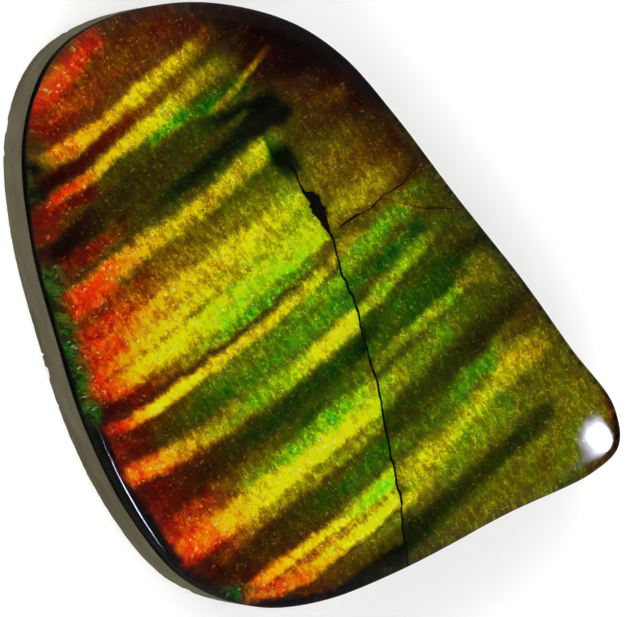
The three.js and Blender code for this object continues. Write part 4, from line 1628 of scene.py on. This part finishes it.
@dataclass(frozen=True)
class Tent:
    """A light tent: white all round and low, dark where the dome mirrors it.

    A ray that is mirrored without passing through the cap finds the tent dim, but for the
    windows, and only such a ray sees these.

    Attributes:
        bright_beyond: Angle from the mirrored direction past which the tent is white, degrees.
        dark_within: Angle from it inside which the tent is dark, in degrees.
        dark: What is left of the light there.
        by_end: Brightness by how far a direction leans to the picture's top or bottom.
        dim: What a mirrored ray finds of the tent's light.
        glare: Colour of the windows' light.
        windows: Openings in the tent.
    """

    bright_beyond: float = 58.0
    dark_within: float = 42.0
    dark: float = 0.01
    by_end: Ramp = (0.1, 1.0, 0.8, 5.0)
    dim: float = 0.02
    glare: str = "d8dcff"
    windows: tuple[Window, ...] = (
        Window(80.0, 0.18, ((0.65, -0.644, 0.404), (0.843, 0.245, 0.479), (0.489, -0.057, 0.871))),
        Window(30.0, 0.05, ((-0.86, -0.46, 0.13), (-0.44, -0.74, -0.36), (-0.72, -0.7, 0.1))),
    )

    def build(self, mirrored: Vector) -> bpy.types.World:
        """Makes the world's light.

        Args:
            mirrored: The direction that the top of the dome mirrors towards the camera.

        Returns:
            The world.
        """
        world = bpy.data.worlds.new("tent")
        world.use_nodes = True
        tree = world.node_tree
        tree.nodes.clear()
        direction = add_node(tree, "TexCoord").outputs["Generated"]
        low, end = (add_node(tree, "VectorMath", (direction, tuple(axis)),
                             operation="DOT_PRODUCT").outputs["Value"]
                    for axis in (mirrored, FORTH))
        beyond, within = (math.cos(math.radians(angle))
                          for angle in (self.bright_beyond, self.dark_within))
        low = add_node(tree, "MapRange", (low, beyond, within, 1.0, self.dark), **SMOOTHSTEP)
        end = add_node(tree, "Math", (end,), operation="ABSOLUTE")
        end = add_node(tree, "MapRange", (end, *self.by_end), **SMOOTHSTEP)
        path = add_node(tree, "LightPath").outputs
        mirror = add_node(tree, "Math", (path["Is Glossy Ray"], path["Is Transmission Ray"]),
                          operation="SUBTRACT", use_clamp=True)
        share = add_node(tree, "MapRange", (mirror, 0.0, 1.0, 1.0, self.dim))
        strength = add_node(tree, "Math", (low, end), operation="MULTIPLY")
        strength = add_node(tree, "Math", (strength, share), operation="MULTIPLY")
        glints = 0.0
        for window in self.windows:
            glint = window.glint(tree, direction, mirror)
            glints = add_node(tree, "Math", (glint, glints), operation="ADD")
        light = add_node(tree, "Background", {"Color": linear("ffffff"), "Strength": strength})
        glare = add_node(tree, "Background", {"Color": linear(self.glare), "Strength": glints})
        both = add_node(tree, "AddShader", (light, glare))
        add_node(tree, "OutputWorld", {"Surface": both})
        return world


@dataclass(frozen=True)
class Studio:
    """Camera, soft light and floor. All lengths are in mm.

    Attributes:
        aim: Point at the picture's middle.
        lean: Camera's lean from upright towards the picture's left, in degrees.
        distance: From the aim to the camera.
        width: Width of the picture at the aim.
        sensor: Width of the camera's sensor.
        clip: Nearest and farthest distance that the camera sees.
        floor_half: Half the floor's side.
        floor_drop: How far the floor lies below the stone's foot, so that they share no plane.
    """

    aim: tuple[float, float, float] = (0.4292, 1.0986, 1.75)
    lean: float = 20.0
    distance: float = 150.0
    width: float = 16.842
    sensor: float = 36.0
    clip: tuple[float, float] = (10.0, 10000.0)
    floor_half: float = 1000.0
    floor_drop: float = 0.01

    def build(self) -> None:
        """Sets up everything that isn't the stone."""
        scene = bpy.context.scene
        scene.view_settings.view_transform = "Standard"
        scene.view_settings.look = "None"
        self.camera(scene)
        scene.world = Tent().build(self.leaning(1.0))
        self.floor(scene)

    def leaning(self, way: float) -> Vector:
        """The upright leant towards picture right (1) or left (-1), as far as the camera."""
        lean = math.radians(self.lean)
        return way * math.sin(lean) * RIGHT + math.cos(lean) * UP

    def camera(self, scene: bpy.types.Scene) -> None:
        """Adds a long lens that leans over the stone's left side.

        Args:
            scene: The scene.
        """
        back = self.leaning(-1.0)
        right = FORTH.cross(back)
        lens = bpy.data.cameras.new("camera")
        lens.sensor_width = self.sensor
        lens.lens = self.sensor * self.distance / self.width
        lens.clip_start, lens.clip_end = (limit * MM for limit in self.clip)
        camera = bpy.data.objects.new("camera", lens)
        turn = Matrix((right, FORTH, back)).transposed().to_4x4()
        eye = (Vector(self.aim) + self.distance * back) * MM
        camera.matrix_world = Matrix.Translation(eye) @ turn
        scene.collection.objects.link(camera)
        scene.camera = camera

    def floor(self, scene: bpy.types.Scene) -> None:
        """Adds a wide flat sheet under the stone, not mirrored in its polish.

        Args:
            scene: The scene.
        """
        signs = np.array([(-1, -1), (1, -1), (1, 1), (-1, 1)])
        corners = np.column_stack([signs * self.floor_half, np.full(4, -self.floor_drop)]) * MM
        mesh = bpy.data.meshes.new("floor")
        mesh.from_pydata(corners.tolist(), [], [(0, 1, 2, 3)])
        mesh.materials.append(Paper().material())
        sheet = bpy.data.objects.new("floor", mesh)
        scene.collection.objects.link(sheet)
        sheet.visible_glossy = False


def main() -> None:
    """Builds the three layers and the studio round them."""
    logging.basicConfig(level=logging.INFO, format="%(name)s: %(message)s")
    outline = Outline(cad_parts["shale_backing"])
    face = ShellFace(outline.top)
    for layer in (ShaleBacking(outline), ShellSheet(outline, face),
                  ClearCap(outline, face, SoapFilm(outline))):
        layer.make()
    Studio().build()


if __name__ == "__main__":
    main()
